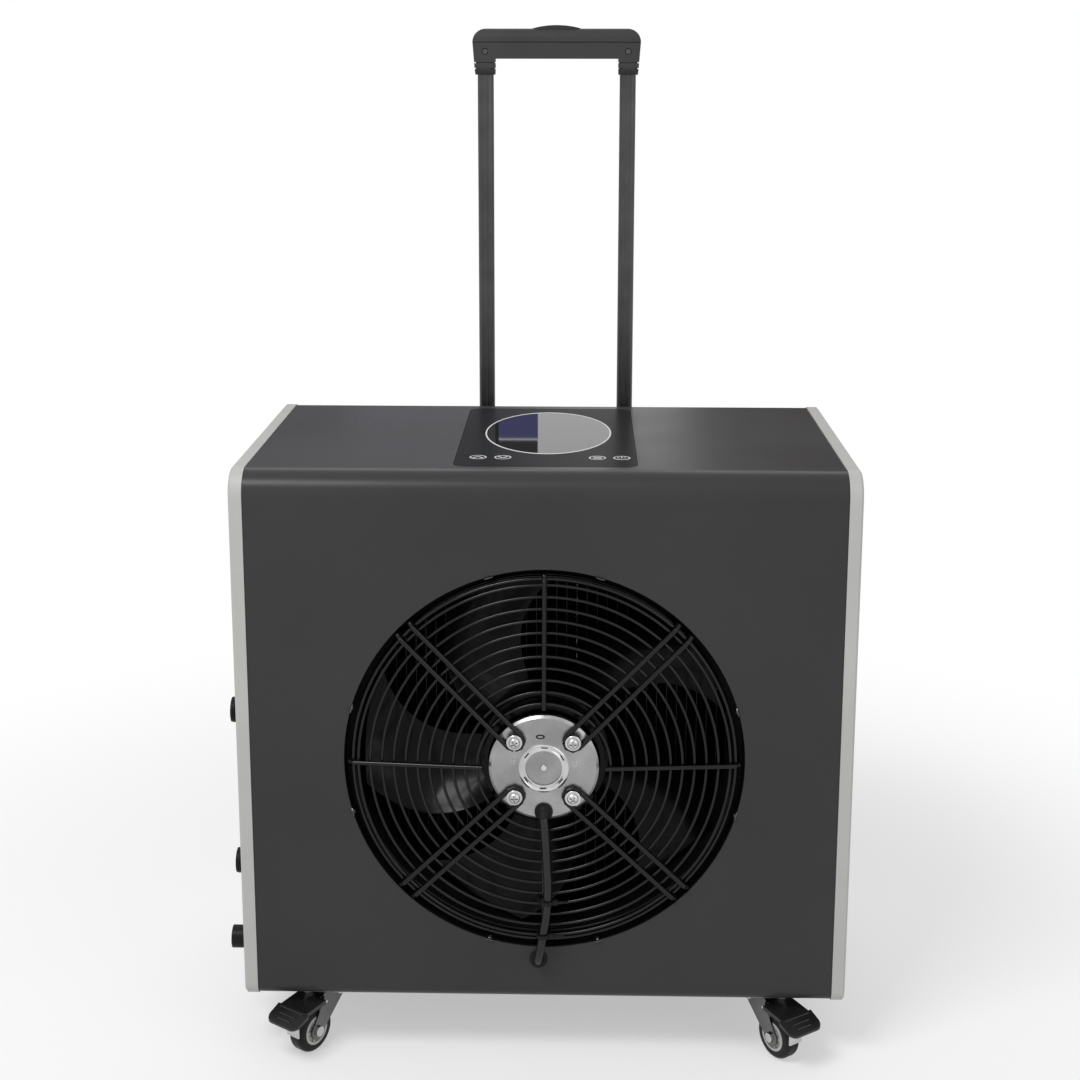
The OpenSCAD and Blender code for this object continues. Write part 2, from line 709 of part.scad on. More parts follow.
// Compressor: welded can with a base plate, accumulator and rubber feet
comp_x = 165;
comp_r = 58;
comp_h = 215;
comp_foot = 14;
comp_plate_t = 3;
comp_foot_r = 64;
comp_foot_d = 24;
acc_r = 24;
acc_h = 120;
acc_gap = 6;
strap_t = 2;
acc_x = comp_x - comp_r - acc_r - acc_gap;
acc_y = comp_y + acc_r + strap_t;
acc_z = floor_z + acc_h;
dome_share = 0.3;
module can(r, h) {
  dome = r * dome_share;
  rotate_extrude() difference() {
    square([r, h]);
    corner_cut(r, h, dome, -1, -1);
    corner_cut(r, 0, dome, -1, 1);
  }
}
module compressor() {
  color([0.05, 0.05, 0.05]) on_body() difference() {
    union() {
      translate([comp_x, comp_y, floor_z + comp_foot]) can(comp_r, comp_h);
      translate([comp_x, comp_y, floor_z + comp_foot]) linear_extrude(comp_plate_t)
        for (a = [90:120:330]) rotate(a) {
          translate([comp_foot_r, 0]) circle(comp_foot_d / 2);
          translate([0, -comp_foot_d / 2]) square([comp_foot_r, comp_foot_d]);
        }
      translate([acc_x, acc_y, acc_z]) can(acc_r, acc_h);
      translate([acc_x, acc_y - strap_t, acc_z + acc_h / 2]) cube([comp_x - acc_x, 2 * strap_t, acc_r]);
    }
    for (a = [90:120:330])
      translate([comp_x + comp_foot_r * cos(a), comp_y + comp_foot_r * sin(a), floor_z + comp_foot - over])
        cylinder(h = comp_plate_t + 2 * over, d = comp_foot_d / 2);
  }
}
module compressor_feet() {
  color([0.1, 0.1, 0.1]) on_body() for (a = [90:120:330])
    translate([comp_x + comp_foot_r * cos(a), comp_y + comp_foot_r * sin(a), floor_z]) {
      cylinder(h = comp_foot - run_gap, d = comp_foot_d);
      cylinder(h = comp_foot + comp_plate_t, d = comp_foot_d / 2 - 2 * run_gap);
    }
}

// Evaporator: insulated canister that chills the water
evap_x = -178;
evap_r = 58;
evap_h = 330;
evap_port_z = 160;
evap_top = floor_z + evap_h;
pipe_r = 9;
port_r = pipe_r + 2;
port_l = 12;
module evaporator() {
  color([0.12, 0.12, 0.13]) on_body() {
    translate([evap_x, evap_y, floor_z]) can(evap_r, evap_h);
    rod([evap_x, evap_y, evap_port_z], [evap_x + evap_r + port_l, evap_y, evap_port_z], port_r);
    rod([evap_x, evap_y, outlet_z], [evap_x, evap_y - evap_r - port_l, outlet_z], port_r);
  }
}

// Circulation pump: motor, volute and feet on the pan
pump_x = -20;
pump_y = evap_y;
pump_z = inlet_z;
pump_r = 38;
pump_l = 96;
volute_r = 44;
volute_t = 26;
volute_x = pump_x - volute_t / 2;
stub_l = 14;
module water_pump() {
  foot_w = 56;
  color([0.15, 0.17, 0.2]) on_body() {
    rod([pump_x, pump_y, pump_z], [pump_x + pump_l, pump_y, pump_z], pump_r);
    rod([pump_x - volute_t, pump_y, pump_z], [pump_x, pump_y, pump_z], volute_r);
    translate([pump_x + pump_l / 4, pump_y - foot_w / 2, floor_z])
      cube([pump_l / 2, foot_w, pump_z - floor_z]);
    rod([volute_x, pump_y, pump_z], [pump_x - volute_t - stub_l, pump_y, pump_z], port_r);
    rod([volute_x, pump_y, pump_z], [volute_x, pump_y, pump_z + volute_r + stub_l], port_r);
  }
}

// Copper refrigerant lines with the filter drier
line_r = 4;
line_bend = 10;
line_side = 20;
line_rise = 40;
line_over = 50;
drier_r = 11;
drier_l = 80;
drier_x = 60;
drier_y = evap_y - evap_r - 2 * line_r;
drier_z = 240;
module refrigerant_lines() {
  coil_mid = coil_y + coil_d / 2;
  row_gap = coil_h / coil_rows;
  comp_top = floor_z + comp_foot + comp_h;
  high_z = fan_z + coil_h / 2 - row_gap / 2;
  low_z = fan_z - coil_h / 2 + row_gap / 2;
  edge_x = coil_w / 2 + 2 * coil_tube_r;
  out_x = edge_x + line_side;
  top_z = evap_top + line_over;
  in_z = evap_top + line_over - line_side;
  color([0.72, 0.42, 0.27]) on_body() {
    bent_rod([
      [comp_x, comp_y, comp_top + seat_gap], [comp_x, comp_y, high_z - line_rise],
      [out_x, comp_y, high_z - line_rise], [out_x, coil_mid, high_z - line_rise],
      [out_x, coil_mid, high_z], [edge_x + seat_gap, coil_mid, high_z]
    ], line_bend, line_r);
    bent_rod([
      [-edge_x - seat_gap, coil_mid, low_z], [-out_x, coil_mid, low_z], [-out_x, drier_y, low_z],
      [-out_x, drier_y, drier_z - drier_l], [drier_x, drier_y, drier_z - drier_l],
      [drier_x, drier_y, drier_z + over]
    ], line_bend, line_r);
    translate([drier_x, drier_y, drier_z]) can(drier_r, drier_l);
    bent_rod([
      [drier_x, drier_y, drier_z + drier_l - over], [drier_x, drier_y, top_z],
      [evap_x + line_side, drier_y, top_z],
      [evap_x + line_side, evap_y, top_z], [evap_x + line_side, evap_y, evap_top + seat_gap]
    ], line_bend, line_r);
    bent_rod([
      [evap_x - line_side, acc_y, evap_top + seat_gap], [evap_x - line_side, acc_y, in_z],
      [acc_x, acc_y, in_z], [acc_x, acc_y, acc_z + acc_h + seat_gap]
    ], line_bend, line_r);
  }
}

// Water pipes between the spigots, the pump and the evaporator
pipe_bend = 14;
spigot_tail = 34;
module water_pipes() {
  inlet_end = spigot_tail - body_w / 2;
  turn_x = pump_x - volute_t - stub_l - pipe_bend - 2 * run_gap - line_bend / 2;
  top_z = pump_z + volute_r + stub_l;
  color([0.2, 0.2, 0.22]) on_body() {
    bent_rod([
      [inlet_end + seat_gap, spigot_y, inlet_z], [turn_x, spigot_y, inlet_z],
      [turn_x, pump_y, inlet_z], [pump_x - volute_t - stub_l - seat_gap, pump_y, inlet_z]
    ], pipe_bend, pipe_r);
    bent_rod([
      [volute_x, pump_y, top_z + seat_gap], [volute_x, pump_y, evap_port_z],
      [evap_x + evap_r + port_l + seat_gap, evap_y, evap_port_z]
    ], pipe_bend, pipe_r);
    bent_rod([
      [evap_x, evap_y - evap_r - port_l - seat_gap, outlet_z], [evap_x, spigot_y, outlet_z],
      [inlet_end + seat_gap, spigot_y, outlet_z]
    ], pipe_bend, pipe_r);
  }
}

// Control box under the glass, with the lip that carries it
box_depth = 34;
glass_t = 3;
box_wall = 2;
module control_box() {
  lip = 7;
  top_z = body_h - cover_step - glass_t;
  color([0.15, 0.15, 0.16]) on_body() {
    difference() {
      translate([0, panel_y + panel_d / 2, body_h - cover_in - seat_gap - box_depth])
        linear_extrude(box_depth) rounded(panel_w + 2 * lip, panel_d + 2 * lip, panel_corner + lip);
      translate([0, panel_y + panel_d / 2, body_h - cover_in - seat_gap - box_depth + box_wall])
        linear_extrude(box_depth) rounded(panel_w - 2 * lip, panel_d - 2 * lip, panel_corner - lip / 2);
      translate([0, panel_y + panel_d / 2, top_z]) linear_extrude(box_depth)
        rounded(panel_w + 2 * panel_gap, panel_d + 2 * panel_gap, panel_corner + panel_gap);
    }
  }
}
module display_outline(grow) {
  polygon([for (a = [0:6:354]) [(display_w + grow) / 2 * cos(a), (display_l + grow) / 2 * sin(a)]]);
}

// The glass is flush with the cover, and the display lies in a shallow pocket of it
pocket = 1.6;
display_share = 0.56;
display_y = panel_y + panel_d * display_share;
module control_panel() {
  color([0.08, 0.08, 0.09]) on_body() difference() {
    translate([0, panel_y + panel_d / 2, body_h - cover_step - glass_t + run_gap])
      linear_extrude(glass_t - run_gap) rounded(panel_w, panel_d, panel_corner);
    translate([0, display_y, body_h - cover_step - pocket]) linear_extrude(glass_t) display_outline(0);
  }
}
module display_window() {
  color([0.2, 0.22, 0.26]) on_body() translate([0, display_y, body_h - cover_step - pocket + run_gap])
    linear_extrude(pocket) display_outline(-2 * run_gap);
}

// Water connections on the left side frame
drain_y = 50;
drain_z = 37;
drain_d = 16;
spigot_collar = 6;
collar_d = 36;
nut_d = 38;
module spigot(z) {
  wall_x = -body_w / 2;
  translate([wall_x, spigot_y, z]) rotate([0, 90, 0]) difference() {
    union() {
      translate([0, 0, -spigot_reach]) cylinder(h = spigot_reach + spigot_tail, d = spigot_d);
      translate([0, 0, -spigot_collar]) cylinder(h = spigot_collar - run_gap, d = collar_d);
      translate([0, 0, side_wall + run_gap]) cylinder(h = spigot_collar, d = nut_d, $fn = 6);
    }
    translate([0, 0, -spigot_reach - over])
      cylinder(h = spigot_reach + spigot_tail + 2 * over, d = spigot_bore);
  }
}
module water_inlet() {
  color([0.1, 0.1, 0.1]) on_body() spigot(inlet_z);
}
module water_outlet() {
  color([0.1, 0.1, 0.1]) on_body() spigot(outlet_z);
}
module drain_plug() {
  knob_l = 20;
  color([0.1, 0.1, 0.1]) on_body() translate([-body_w / 2, drain_y, drain_z]) rotate([0, 90, 0]) {
    translate([0, 0, -knob_l / 2]) cylinder(h = spigot_tail + knob_l / 2, d = drain_d);
    translate([0, 0, -knob_l]) difference() {
      cylinder(h = knob_l - run_gap, d = drain_d + spigot_collar);
      for (a = [0:45:315]) rotate([0, 0, a]) translate([drain_d / 2 + spigot_collar, 0, -over])
        cylinder(h = knob_l - 2 * over, d = spigot_collar);
    }
  }
}
module power_gland() {
  gland_l = 24;
  gland_in = 14;
  nut = gland_d + 6;
  clamp = gland_d + 4;
  nut_l = gland_l / 3;
  color([0.08, 0.08, 0.08]) on_body() translate([gland_x, body_d - cover_step, gland_z]) rotate([-90, 0, 0])
    difference() {
      union() {
        translate([0, 0, -sheet_t - gland_in]) cylinder(h = gland_in + sheet_t + gland_l, d = gland_d);
        translate([0, 0, run_gap]) cylinder(h = nut_l, d = nut, $fn = 6);
        translate([0, 0, gland_l / 2]) cylinder(h = gland_l / 2, d = clamp, $fn = 6);
        translate([0, 0, -sheet_t - nut_l - run_gap]) cylinder(h = nut_l, d = nut, $fn = 6);
      }
      translate([0, 0, -sheet_t - gland_in - over]) cylinder(h = 2 * gland_l, d = gland_bore);
    }
}

// Telescopic handle: grooved tubes in sleeves behind the rear panel
groove_w = 3;
groove_t = 1.2;
sleeve_wall = 2;
sleeve_gap = 0.3;
sleeve_z = 44;
bracket_drop = 10;
bracket_top = body_h - bracket_drop;
bracket_h = 46;
bracket_pad = 10;
bracket_lip = 4;
low_bracket_z = 40;
low_bracket_h = 30;
tube_y = body_d + tube_back;
grip_h = 47.5;
socket_l = 15;
tube_rest = 16;
leg_bottom = body_h + handle_reach - button_rise - grip_h;
tube_top = leg_bottom + socket_l;
tube_bottom = sleeve_z + handle_travel + tube_rest;
module tube_section() {
  difference() {
    slot(tube_w, tube_d);
    for (s = [-1, 1])
      translate([s * tube_w / 6 - groove_w / 2, -tube_d / 2 - over]) square([groove_w, groove_t + over]);
  }
}
module at_tubes() {
  for (s = [-1, 1]) translate([handle_x + s * tube_spacing / 2, tube_y, 0]) children();
}
module handle_tubes() {
  color([0.16, 0.16, 0.17]) on_body() at_tubes()
    translate([0, 0, tube_bottom]) linear_extrude(tube_top - tube_bottom) tube_section();
}
module sleeve_outline(grow) {
  slot(tube_w + 2 * grow, tube_d + 2 * grow);
}
module handle_sleeves() {
  color([0.2, 0.2, 0.21]) on_body() at_tubes() translate([0, 0, sleeve_z]) difference() {
    linear_extrude(bracket_top - sleeve_z - over) sleeve_outline(sleeve_gap + sleeve_wall);
    translate([0, 0, sleeve_wall]) linear_extrude(bracket_top) sleeve_outline(sleeve_gap);
  }
}
module bracket(z, h) {
  w = tube_spacing + tube_w + 2 * (sleeve_wall + bracket_pad);
  deep = tube_back + tube_d / 2 + sleeve_wall + bracket_lip;
  difference() {
    translate([handle_x, body_d - cover_step + deep / 2, z]) linear_extrude(h) rounded(w, deep, bracket_lip);
    at_tubes() translate([0, 0, z - over]) linear_extrude(h + 2 * over)
      sleeve_outline(sleeve_gap + sleeve_wall + run_gap);
    translate([handle_x, body_d - cover_step + deep / 2, z - over]) linear_extrude(h + 2 * over)
      rounded(tube_spacing - tube_w - 2 * bracket_pad, deep - bracket_pad, bracket_lip);
  }
}
module upper_bracket() {
  color([0.72, 0.72, 0.7]) on_body() bracket(bracket_top - bracket_h, bracket_h);
}
module lower_bracket() {
  color([0.72, 0.72, 0.7]) on_body() bracket(low_bracket_z, low_bracket_h);
}

// Grip: two half shells, split at the middle of the bar
grip_w = 176;
leg_w = 23;
grip_top = body_h + handle_reach - button_rise;
split_drop = 14;
bar_h = 31;
grip_split = grip_top - split_drop;
bar_bottom = grip_top - bar_h;
grip_round = 10;
grip_corner = 14;
leg_slim = 4;
leg_taper = 2.6;
leg_mid = (grip_w - leg_w - leg_taper) / 2;
collar_groove = 0.7;
collar_h = 1;
collar_pitch = 6;
module grip_outline() {
  h = grip_top - leg_bottom;
  translate([-grip_w / 2, 0]) difference() {
    polygon([
      [leg_taper, 0], [0, h - grip_corner], [0, h],
      [grip_w, h], [grip_w, h - grip_corner], [grip_w - leg_taper, 0]
    ]);
    corner_cut(0, h, grip_corner, 1, -1);
    corner_cut(grip_w, h, grip_corner, -1, -1);
    translate([leg_w, -over]) square([grip_w - 2 * leg_w, bar_bottom - leg_bottom + over]);
  }
}
module grip_solid() {
  translate([handle_x, tube_y, leg_bottom]) intersection() {
    translate([0, grip_d / 2, 0]) rotate([90, 0, 0]) linear_extrude(grip_d) grip_outline();
    translate([-grip_w / 2, 0, (grip_top - leg_bottom) / 2]) rotate([90, 0, 90])
      linear_extrude(grip_w) rounded(grip_d, grip_top - leg_bottom, grip_round);
  }
}
module tube_sockets() {
  at_tubes() translate([0, 0, leg_bottom - over])
    linear_extrude(tube_top - leg_bottom + over + seat_gap) slot(tube_w + 2 * run_gap, tube_d + 2 * run_gap);
}
button_l = 52;
button_w = 20;
button_gap = 0.3;
well_depth = 22;
module grip_lower() {
  color([0.22, 0.22, 0.23]) on_body() difference() {
    intersection() {
      grip_solid();
      translate([handle_x - grip_w, tube_y - grip_d, leg_bottom - over])
        cube([2 * grip_w, 2 * grip_d, grip_split - leg_bottom + over]);
    }
    tube_sockets();
    translate([handle_x, tube_y, grip_top - well_depth]) linear_extrude(well_depth)
      slot(button_l + 2 * button_gap, button_w + 2 * button_gap);
    screw_bores();
    for (k = [1:2]) for (s = [-1, 1])
      translate([handle_x + s * leg_mid, tube_y, leg_bottom + k * collar_pitch]) difference() {
        linear_extrude(collar_h) square([2 * leg_w, 2 * grip_d], center = true);
        translate([0, 0, -over]) linear_extrude(collar_h + 2 * over)
          rounded(leg_w - leg_taper - 2 * collar_groove, grip_d - 2 * collar_groove, grip_round / 2);
      }
  }
}
module grip_upper() {
  color([0.22, 0.22, 0.23]) on_body() difference() {
    intersection() {
      grip_solid();
      translate([handle_x - grip_w, tube_y - grip_d, grip_split])
        cube([2 * grip_w, 2 * grip_d, grip_top]);
    }
    translate([handle_x, tube_y, grip_split - over]) linear_extrude(grip_top)
      slot(button_l + 2 * button_gap, button_w + 2 * button_gap);
  }
}
grip_screw_rise = 24;
grip_screw_z = leg_bottom + grip_screw_rise;
grip_screw_r = 2;
grip_screw_head = 3.4;
grip_screw_deep = 3;
module screw_bores() {
  at_tubes() translate([0, -grip_d / 2 - over, grip_screw_z]) rotate([-90, 0, 0])
    cylinder(h = grip_screw_deep + over, r = grip_screw_head + run_gap);
}
module grip_screws() {
  color([0.5, 0.5, 0.5]) on_body() at_tubes()
    translate([0, -grip_d / 2 + over, grip_screw_z]) rotate([-90, 0, 0])
      difference() {
        cylinder(h = grip_screw_deep - over, r = grip_screw_head);
        for (a = [0, 90]) rotate([0, 0, a]) translate([-grip_screw_r, -grip_screw_r / 4, -over])
          cube([2 * grip_screw_r, grip_screw_r / 2, 2 * over]);
      }
}
spring_wire = 0.8;
spring_r = 5;
spring_turns = 5;
button_top = grip_top + button_rise;
button_h = 14;
button_bottom = button_top - button_h;
well_floor = grip_top - well_depth;
module release_button() {
  dome_r = (button_l * button_l / 4 + button_rise * button_rise) / (2 * button_rise);
  color([0.19, 0.19, 0.2]) on_body() translate([handle_x, tube_y, button_bottom]) intersection() {
    linear_extrude(button_h) slot(button_l, button_w);
    translate([0, button_w, button_h - dome_r]) rotate([90, 0, 0])
      cylinder(h = 2 * button_w, r = dome_r, $fn = 256);
  }
}
module button_spring() {
  steps = 10 * spring_turns;
  low = well_floor + spring_wire / 2 + seat_gap / 3;
  high = button_bottom - spring_wire / 2 - seat_gap / 3;
  color([0.7, 0.7, 0.7]) on_body() translate([handle_x, tube_y, 0]) swept_tube(
    [for (i = [0:steps]) [spring_r * cos(360 * spring_turns * i / steps),
      spring_r * sin(360 * spring_turns * i / steps), low + (high - low) * i / steps]],
    spring_wire / 2, 6, [0, 0, 1]);
}

// Castors: plate with king pin, stamped fork, axle bolt, hub, tyre and brake
plate_w = 42;
plate_t = 2;
plate_pitch = 32;
plate_hole_r = 2.6;
king_r = 4;
race_t = 3;
race_r = 15;
king_head_r = 7;
king_head_t = 2.5;
cheek_t = 1.6;
cheek_in = tyre_w / 2 + 1;
axle_z = wheel_d / 2 - castor_top;
axle_r = 3;
cheek_r = 9;
cheek_front = 13;
corner_r = 4;
module plate_holes(h) {
  for (sx = [-1, 1])
    for (sy = [-1, 1])
      translate([sx * plate_pitch / 2, sy * plate_pitch / 2, 0]) cylinder(h = h, r = plate_hole_r);
}
module castor_plates() {
  color([0.62, 0.62, 0.62]) place() for (sx = [-1, 1]) for (y = [castor_y, body_d - castor_y])
    translate([sx * castor_x, y, castor_top]) {
      difference() {
        translate([0, 0, -plate_t]) linear_extrude(plate_t) rounded(plate_w, plate_w, corner_r);
        translate([0, 0, -plate_t - over]) plate_holes(plate_t + 2 * over);
      }
      translate([0, 0, -plate_t - race_t - 2 * seat_gap - king_head_t])
        cylinder(h = king_head_t, r = king_head_r);
      translate([0, 0, -plate_t - race_t - 2 * seat_gap - king_head_t / 2])
        cylinder(h = race_t + 2 * seat_gap + king_head_t / 2 + plate_t / 2, r = king_r);
    }
}
race_top = -plate_t - seat_gap;
hinge_u = 12;
hinge_z = -15;
hinge_r = 1.5;
module cheek_outline() {
  polygon([
    [-cheek_front, race_top - race_t], [-cheek_front, race_top - 4 * race_t],
    [castor_trail - cheek_r, axle_z], [castor_trail + cheek_r, axle_z],
    [cheek_front + race_t, race_top - 3 * race_t], [cheek_front, race_top - race_t]
  ]);
  translate([castor_trail, axle_z]) circle(cheek_r);
}
module fork(sx, sy, braked) {
  color([0.55, 0.55, 0.56]) on_castor(sx, sy) difference() {
    union() {
      translate([0, 0, race_top - race_t]) cylinder(h = race_t, r = race_r);
      for (s = [-1, 1])
        translate([0, s * (cheek_in + cheek_t / 2) + cheek_t / 2, 0]) rotate([90, 0, 0])
          linear_extrude(cheek_t) cheek_outline();
      translate([-cheek_front, -cheek_in - cheek_t, race_top - 4 * race_t])
        cube([cheek_t, 2 * (cheek_in + cheek_t), 3 * race_t]);
    }
    translate([0, 0, race_top - race_t - over]) cylinder(h = race_t + 2 * over, r = king_r + run_gap);
    translate([castor_trail, cheek_in + 2 * cheek_t, axle_z]) rotate([90, 0, 0])
      cylinder(h = 2 * cheek_in + 4 * cheek_t, r = axle_r + run_gap);
    if (braked) translate([hinge_u, cheek_in + 2 * cheek_t, hinge_z]) rotate([90, 0, 0])
      cylinder(h = 2 * cheek_in + 4 * cheek_t, r = hinge_r + run_gap);
  }
}
axle_head_r = 5;
axle_head_t = 2.4;
module axle(sx, sy) {
  half = cheek_in + cheek_t + run_gap;
  color([0.7, 0.7, 0.7]) on_castor(sx, sy) translate([castor_trail, 0, axle_z]) rotate([90, 0, 0]) {
    translate([0, 0, -half - axle_head_t]) cylinder(h = 2 * (half + axle_head_t), r = axle_r);
    translate([0, 0, half]) cylinder(h = axle_head_t, r = axle_head_r, $fn = 6);
    translate([0, 0, -half - axle_head_t]) cylinder(h = axle_head_t, r = axle_head_r);
  }
}
hub_boss_r = 6;
hub_face = 2.5;
module hub(sx, sy) {
  half = tyre_w / 2 + cheek_gap;
  color([0.72, 0.72, 0.72]) on_castor(sx, sy) translate([castor_trail, 0, axle_z]) rotate([90, 0, 0])
    rotate_extrude() polygon([
      [axle_r + run_gap, -half], [hub_boss_r, -half], [hub_boss_r, hub_face - half],
      [hub_d / 2 - hub_face, hub_face - half], [hub_d / 2 - hub_face, -tyre_w / 2],
      [hub_d / 2, -tyre_w / 2], [hub_d / 2, tyre_w / 2], [hub_d / 2 - hub_face, tyre_w / 2],
      [hub_d / 2 - hub_face, half - hub_face], [hub_boss_r, half - hub_face], [hub_boss_r, half],
      [axle_r + run_gap, half]
    ]);
}
cheek_gap = 0.7;
module tyre(sx, sy) {
  crown = 5;
  color([0.08, 0.08, 0.08]) on_castor(sx, sy) translate([castor_trail, 0, axle_z]) rotate([90, 0, 0])
    rotate_extrude() difference() {
      translate([hub_d / 2 + run_gap, -tyre_w / 2]) square([(wheel_d - hub_d) / 2 - run_gap, tyre_w]);
      corner_cut(wheel_d / 2, tyre_w / 2, crown, -1, -1);
      corner_cut(wheel_d / 2, -tyre_w / 2, crown, -1, 1);
    }
}

// Brake: the pedal lies over the tyre, and its metal blade turns on a pin through the cheeks
pedal_t = 4;
pedal_drop = 11;
pedal_start = 9;
pedal_neck = 19;
deck_w = 34;
pedal_ridges = [[2, 30], [8, 20], [13, 16]];
ridge_r = 1;
barrel_r = 3.2;
blade_t = 1.5;
blade_w = 15;
blade_gap = 0.4;
knee_share = 0.25;
knee_back = 0.5;
pedal_knee = castor_trail + wheel_d / 2 - knee_back;
pedal_flat = hinge_u + barrel_r;
pedal_base = hinge_z + barrel_r + run_gap;
knee_z = pedal_base - knee_share * pedal_drop;
tip_slope = (pedal_t / 2 - (1 - knee_share) * pedal_drop) / (pedal_reach - pedal_knee);
tip_u = pedal_reach + over;
function pedal_under(u) = knee_z + (u - pedal_knee) * tip_slope;
module pedal_section() {
  polygon([
    [pedal_start, pedal_base], [pedal_start, pedal_base + pedal_t], [pedal_flat, pedal_base + pedal_t],
    [pedal_knee, knee_z + pedal_t], [tip_u, pedal_under(tip_u) + pedal_t / 2],
    [tip_u, pedal_under(tip_u)], [pedal_knee, knee_z], [pedal_flat, pedal_base]
  ]);
}
module pedal_plan() {
  neck = cheek_in - seat_gap;
  translate([pedal_start - over, -neck]) square([pedal_neck - pedal_start + 2 * over, 2 * neck]);
  translate([pedal_neck, -deck_w / 2]) square([pedal_knee - pedal_neck + over, deck_w]);
  difference() {
    translate([pedal_knee, -pedal_w / 2]) square([pedal_reach - pedal_knee, pedal_w]);
    corner_cut(pedal_reach, pedal_w / 2, pedal_corner, -1, -1);
    corner_cut(pedal_reach, -pedal_w / 2, pedal_corner, -1, 1);
  }
}
module brake_pedal(sx) {
  color([0.06, 0.06, 0.06]) on_castor(sx, -1) {
    intersection() {
      translate([0, pedal_w, 0]) rotate([90, 0, 0]) linear_extrude(2 * pedal_w) pedal_section();
      translate([0, 0, -castor_top]) linear_extrude(castor_top) pedal_plan();
    }
    for (p = pedal_ridges) {
      u = pedal_knee + p[0];
      z = pedal_under(u) + pedal_t / 2 + (tip_u - u) / (tip_u - pedal_knee) * pedal_t / 2;
      rod([u, -p[1] / 2, z], [u, p[1] / 2, z], ridge_r);
    }
  }
}
module brake_blade(sx) {
  half = cheek_in + cheek_t;
  hang_u = castor_trail + wheel_d / 2 + blade_gap;
  end_u = hang_u + blade_t;
  top = pedal_base - run_gap;
  knee = knee_z - run_gap;
  color([0.66, 0.66, 0.67]) on_castor(sx, -1) {
    translate([hinge_u, half, hinge_z]) rotate([90, 0, 0]) cylinder(h = 2 * half, r = hinge_r);
    translate([hinge_u, cheek_in - seat_gap, hinge_z]) rotate([90, 0, 0])
      cylinder(h = 2 * (cheek_in - seat_gap), r = barrel_r);
    translate([0, blade_w / 2, 0]) rotate([90, 0, 0]) linear_extrude(blade_w) polygon([
      [hinge_u, top], [pedal_flat, top], [pedal_knee, knee], [end_u, pedal_under(end_u) - run_gap],
      [end_u, axle_z + blade_t], [hang_u, axle_z + blade_t],
      [hang_u, pedal_under(hang_u) - run_gap - blade_t],
      [pedal_knee, knee - blade_t], [pedal_flat, top - blade_t], [hinge_u, top - blade_t]
    ]);
  }
}

front_top_cover();
side_frame_left();
side_frame_right();
rear_panel();
base_pan();
fan_shroud();
fan_guard();
motor_cap();
motor_stator();
fan_screws();
cable_grommets();
fan_cable();
cable_ties();
condenser_coil();
compressor();
compressor_feet();
evaporator();
water_pump();
refrigerant_lines();
water_pipes();
control_box();
control_panel();
display_window();
water_inlet();
water_outlet();
drain_plug();
power_gland();
handle_sleeves();
upper_bracket();
lower_bracket();
castor_plates();
fan_rotor();
motor_shaft();
fan_impeller();
handle_tubes();
grip_upper();
grip_lower();
grip_screws();
button_spring();
release_button();
fork(-1, -1, true);  // fork_front_left
fork(1, -1, true);  // fork_front_right
fork(-1, 1, false);  // fork_rear_left
fork(1, 1, false);  // fork_rear_right
axle(-1, -1);  // axle_front_left
axle(1, -1);  // axle_front_right
axle(-1, 1);  // axle_rear_left
axle(1, 1);  // axle_rear_right
hub(-1, -1);  // hub_front_left
hub(1, -1);  // hub_front_right
hub(-1, 1);  // hub_rear_left
hub(1, 1);  // hub_rear_right
tyre(-1, -1);  // tyre_front_left
tyre(1, -1);  // tyre_front_right
tyre(-1, 1);  // tyre_rear_left
tyre(1, 1);  // tyre_rear_right
brake_pedal(-1);  // brake_pedal_left
brake_pedal(1);  // brake_pedal_right
brake_blade(-1);  // brake_blade_left
brake_blade(1);  // brake_blade_right
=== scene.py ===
import math

import bmesh
import bpy
from mathutils import Matrix, Vector


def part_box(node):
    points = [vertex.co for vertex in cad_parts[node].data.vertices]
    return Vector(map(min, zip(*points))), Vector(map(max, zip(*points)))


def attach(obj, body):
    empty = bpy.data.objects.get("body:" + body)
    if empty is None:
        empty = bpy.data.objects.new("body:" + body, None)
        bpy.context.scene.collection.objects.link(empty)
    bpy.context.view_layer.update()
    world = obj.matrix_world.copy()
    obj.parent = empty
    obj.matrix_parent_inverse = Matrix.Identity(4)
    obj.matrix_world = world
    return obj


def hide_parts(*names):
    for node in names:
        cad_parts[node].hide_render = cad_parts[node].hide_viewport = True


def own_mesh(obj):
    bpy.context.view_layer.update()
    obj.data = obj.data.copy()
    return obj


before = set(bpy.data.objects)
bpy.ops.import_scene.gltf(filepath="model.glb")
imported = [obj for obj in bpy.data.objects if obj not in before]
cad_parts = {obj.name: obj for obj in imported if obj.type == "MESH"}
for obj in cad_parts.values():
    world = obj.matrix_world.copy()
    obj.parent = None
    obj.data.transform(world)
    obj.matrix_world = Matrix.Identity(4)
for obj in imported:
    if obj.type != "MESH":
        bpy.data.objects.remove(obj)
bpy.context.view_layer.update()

# Sizes are in millimetres in the cabinet's own frame, from its middle, its front and its underside
MM = 0.001
ACROSS = Vector((1, 0, 0))
BACK = Vector((0, 1, 0))
UP = Vector((0, 0, 1))
LEFT = [Vector(p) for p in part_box("side_frame_left")]
RIGHT = [Vector(p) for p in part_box("side_frame_right")]
ORIGIN = Vector(((LEFT[0].x + RIGHT[1].x) / 2, LEFT[0].y, LEFT[0].z))
BODY_W = (RIGHT[1].x - LEFT[0].x) / MM
BODY_D = (LEFT[1].y - LEFT[0].y) / MM
COVER_STEP = 1.0


def at(x, y, z):
    return ORIGIN + Vector((x, y, z)) * MM


def box_mm(node):
    """The lowest and highest corner of a CAD node in the cabinet's frame, in millimetres."""
    return [(Vector(p) - ORIGIN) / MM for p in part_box(node)]


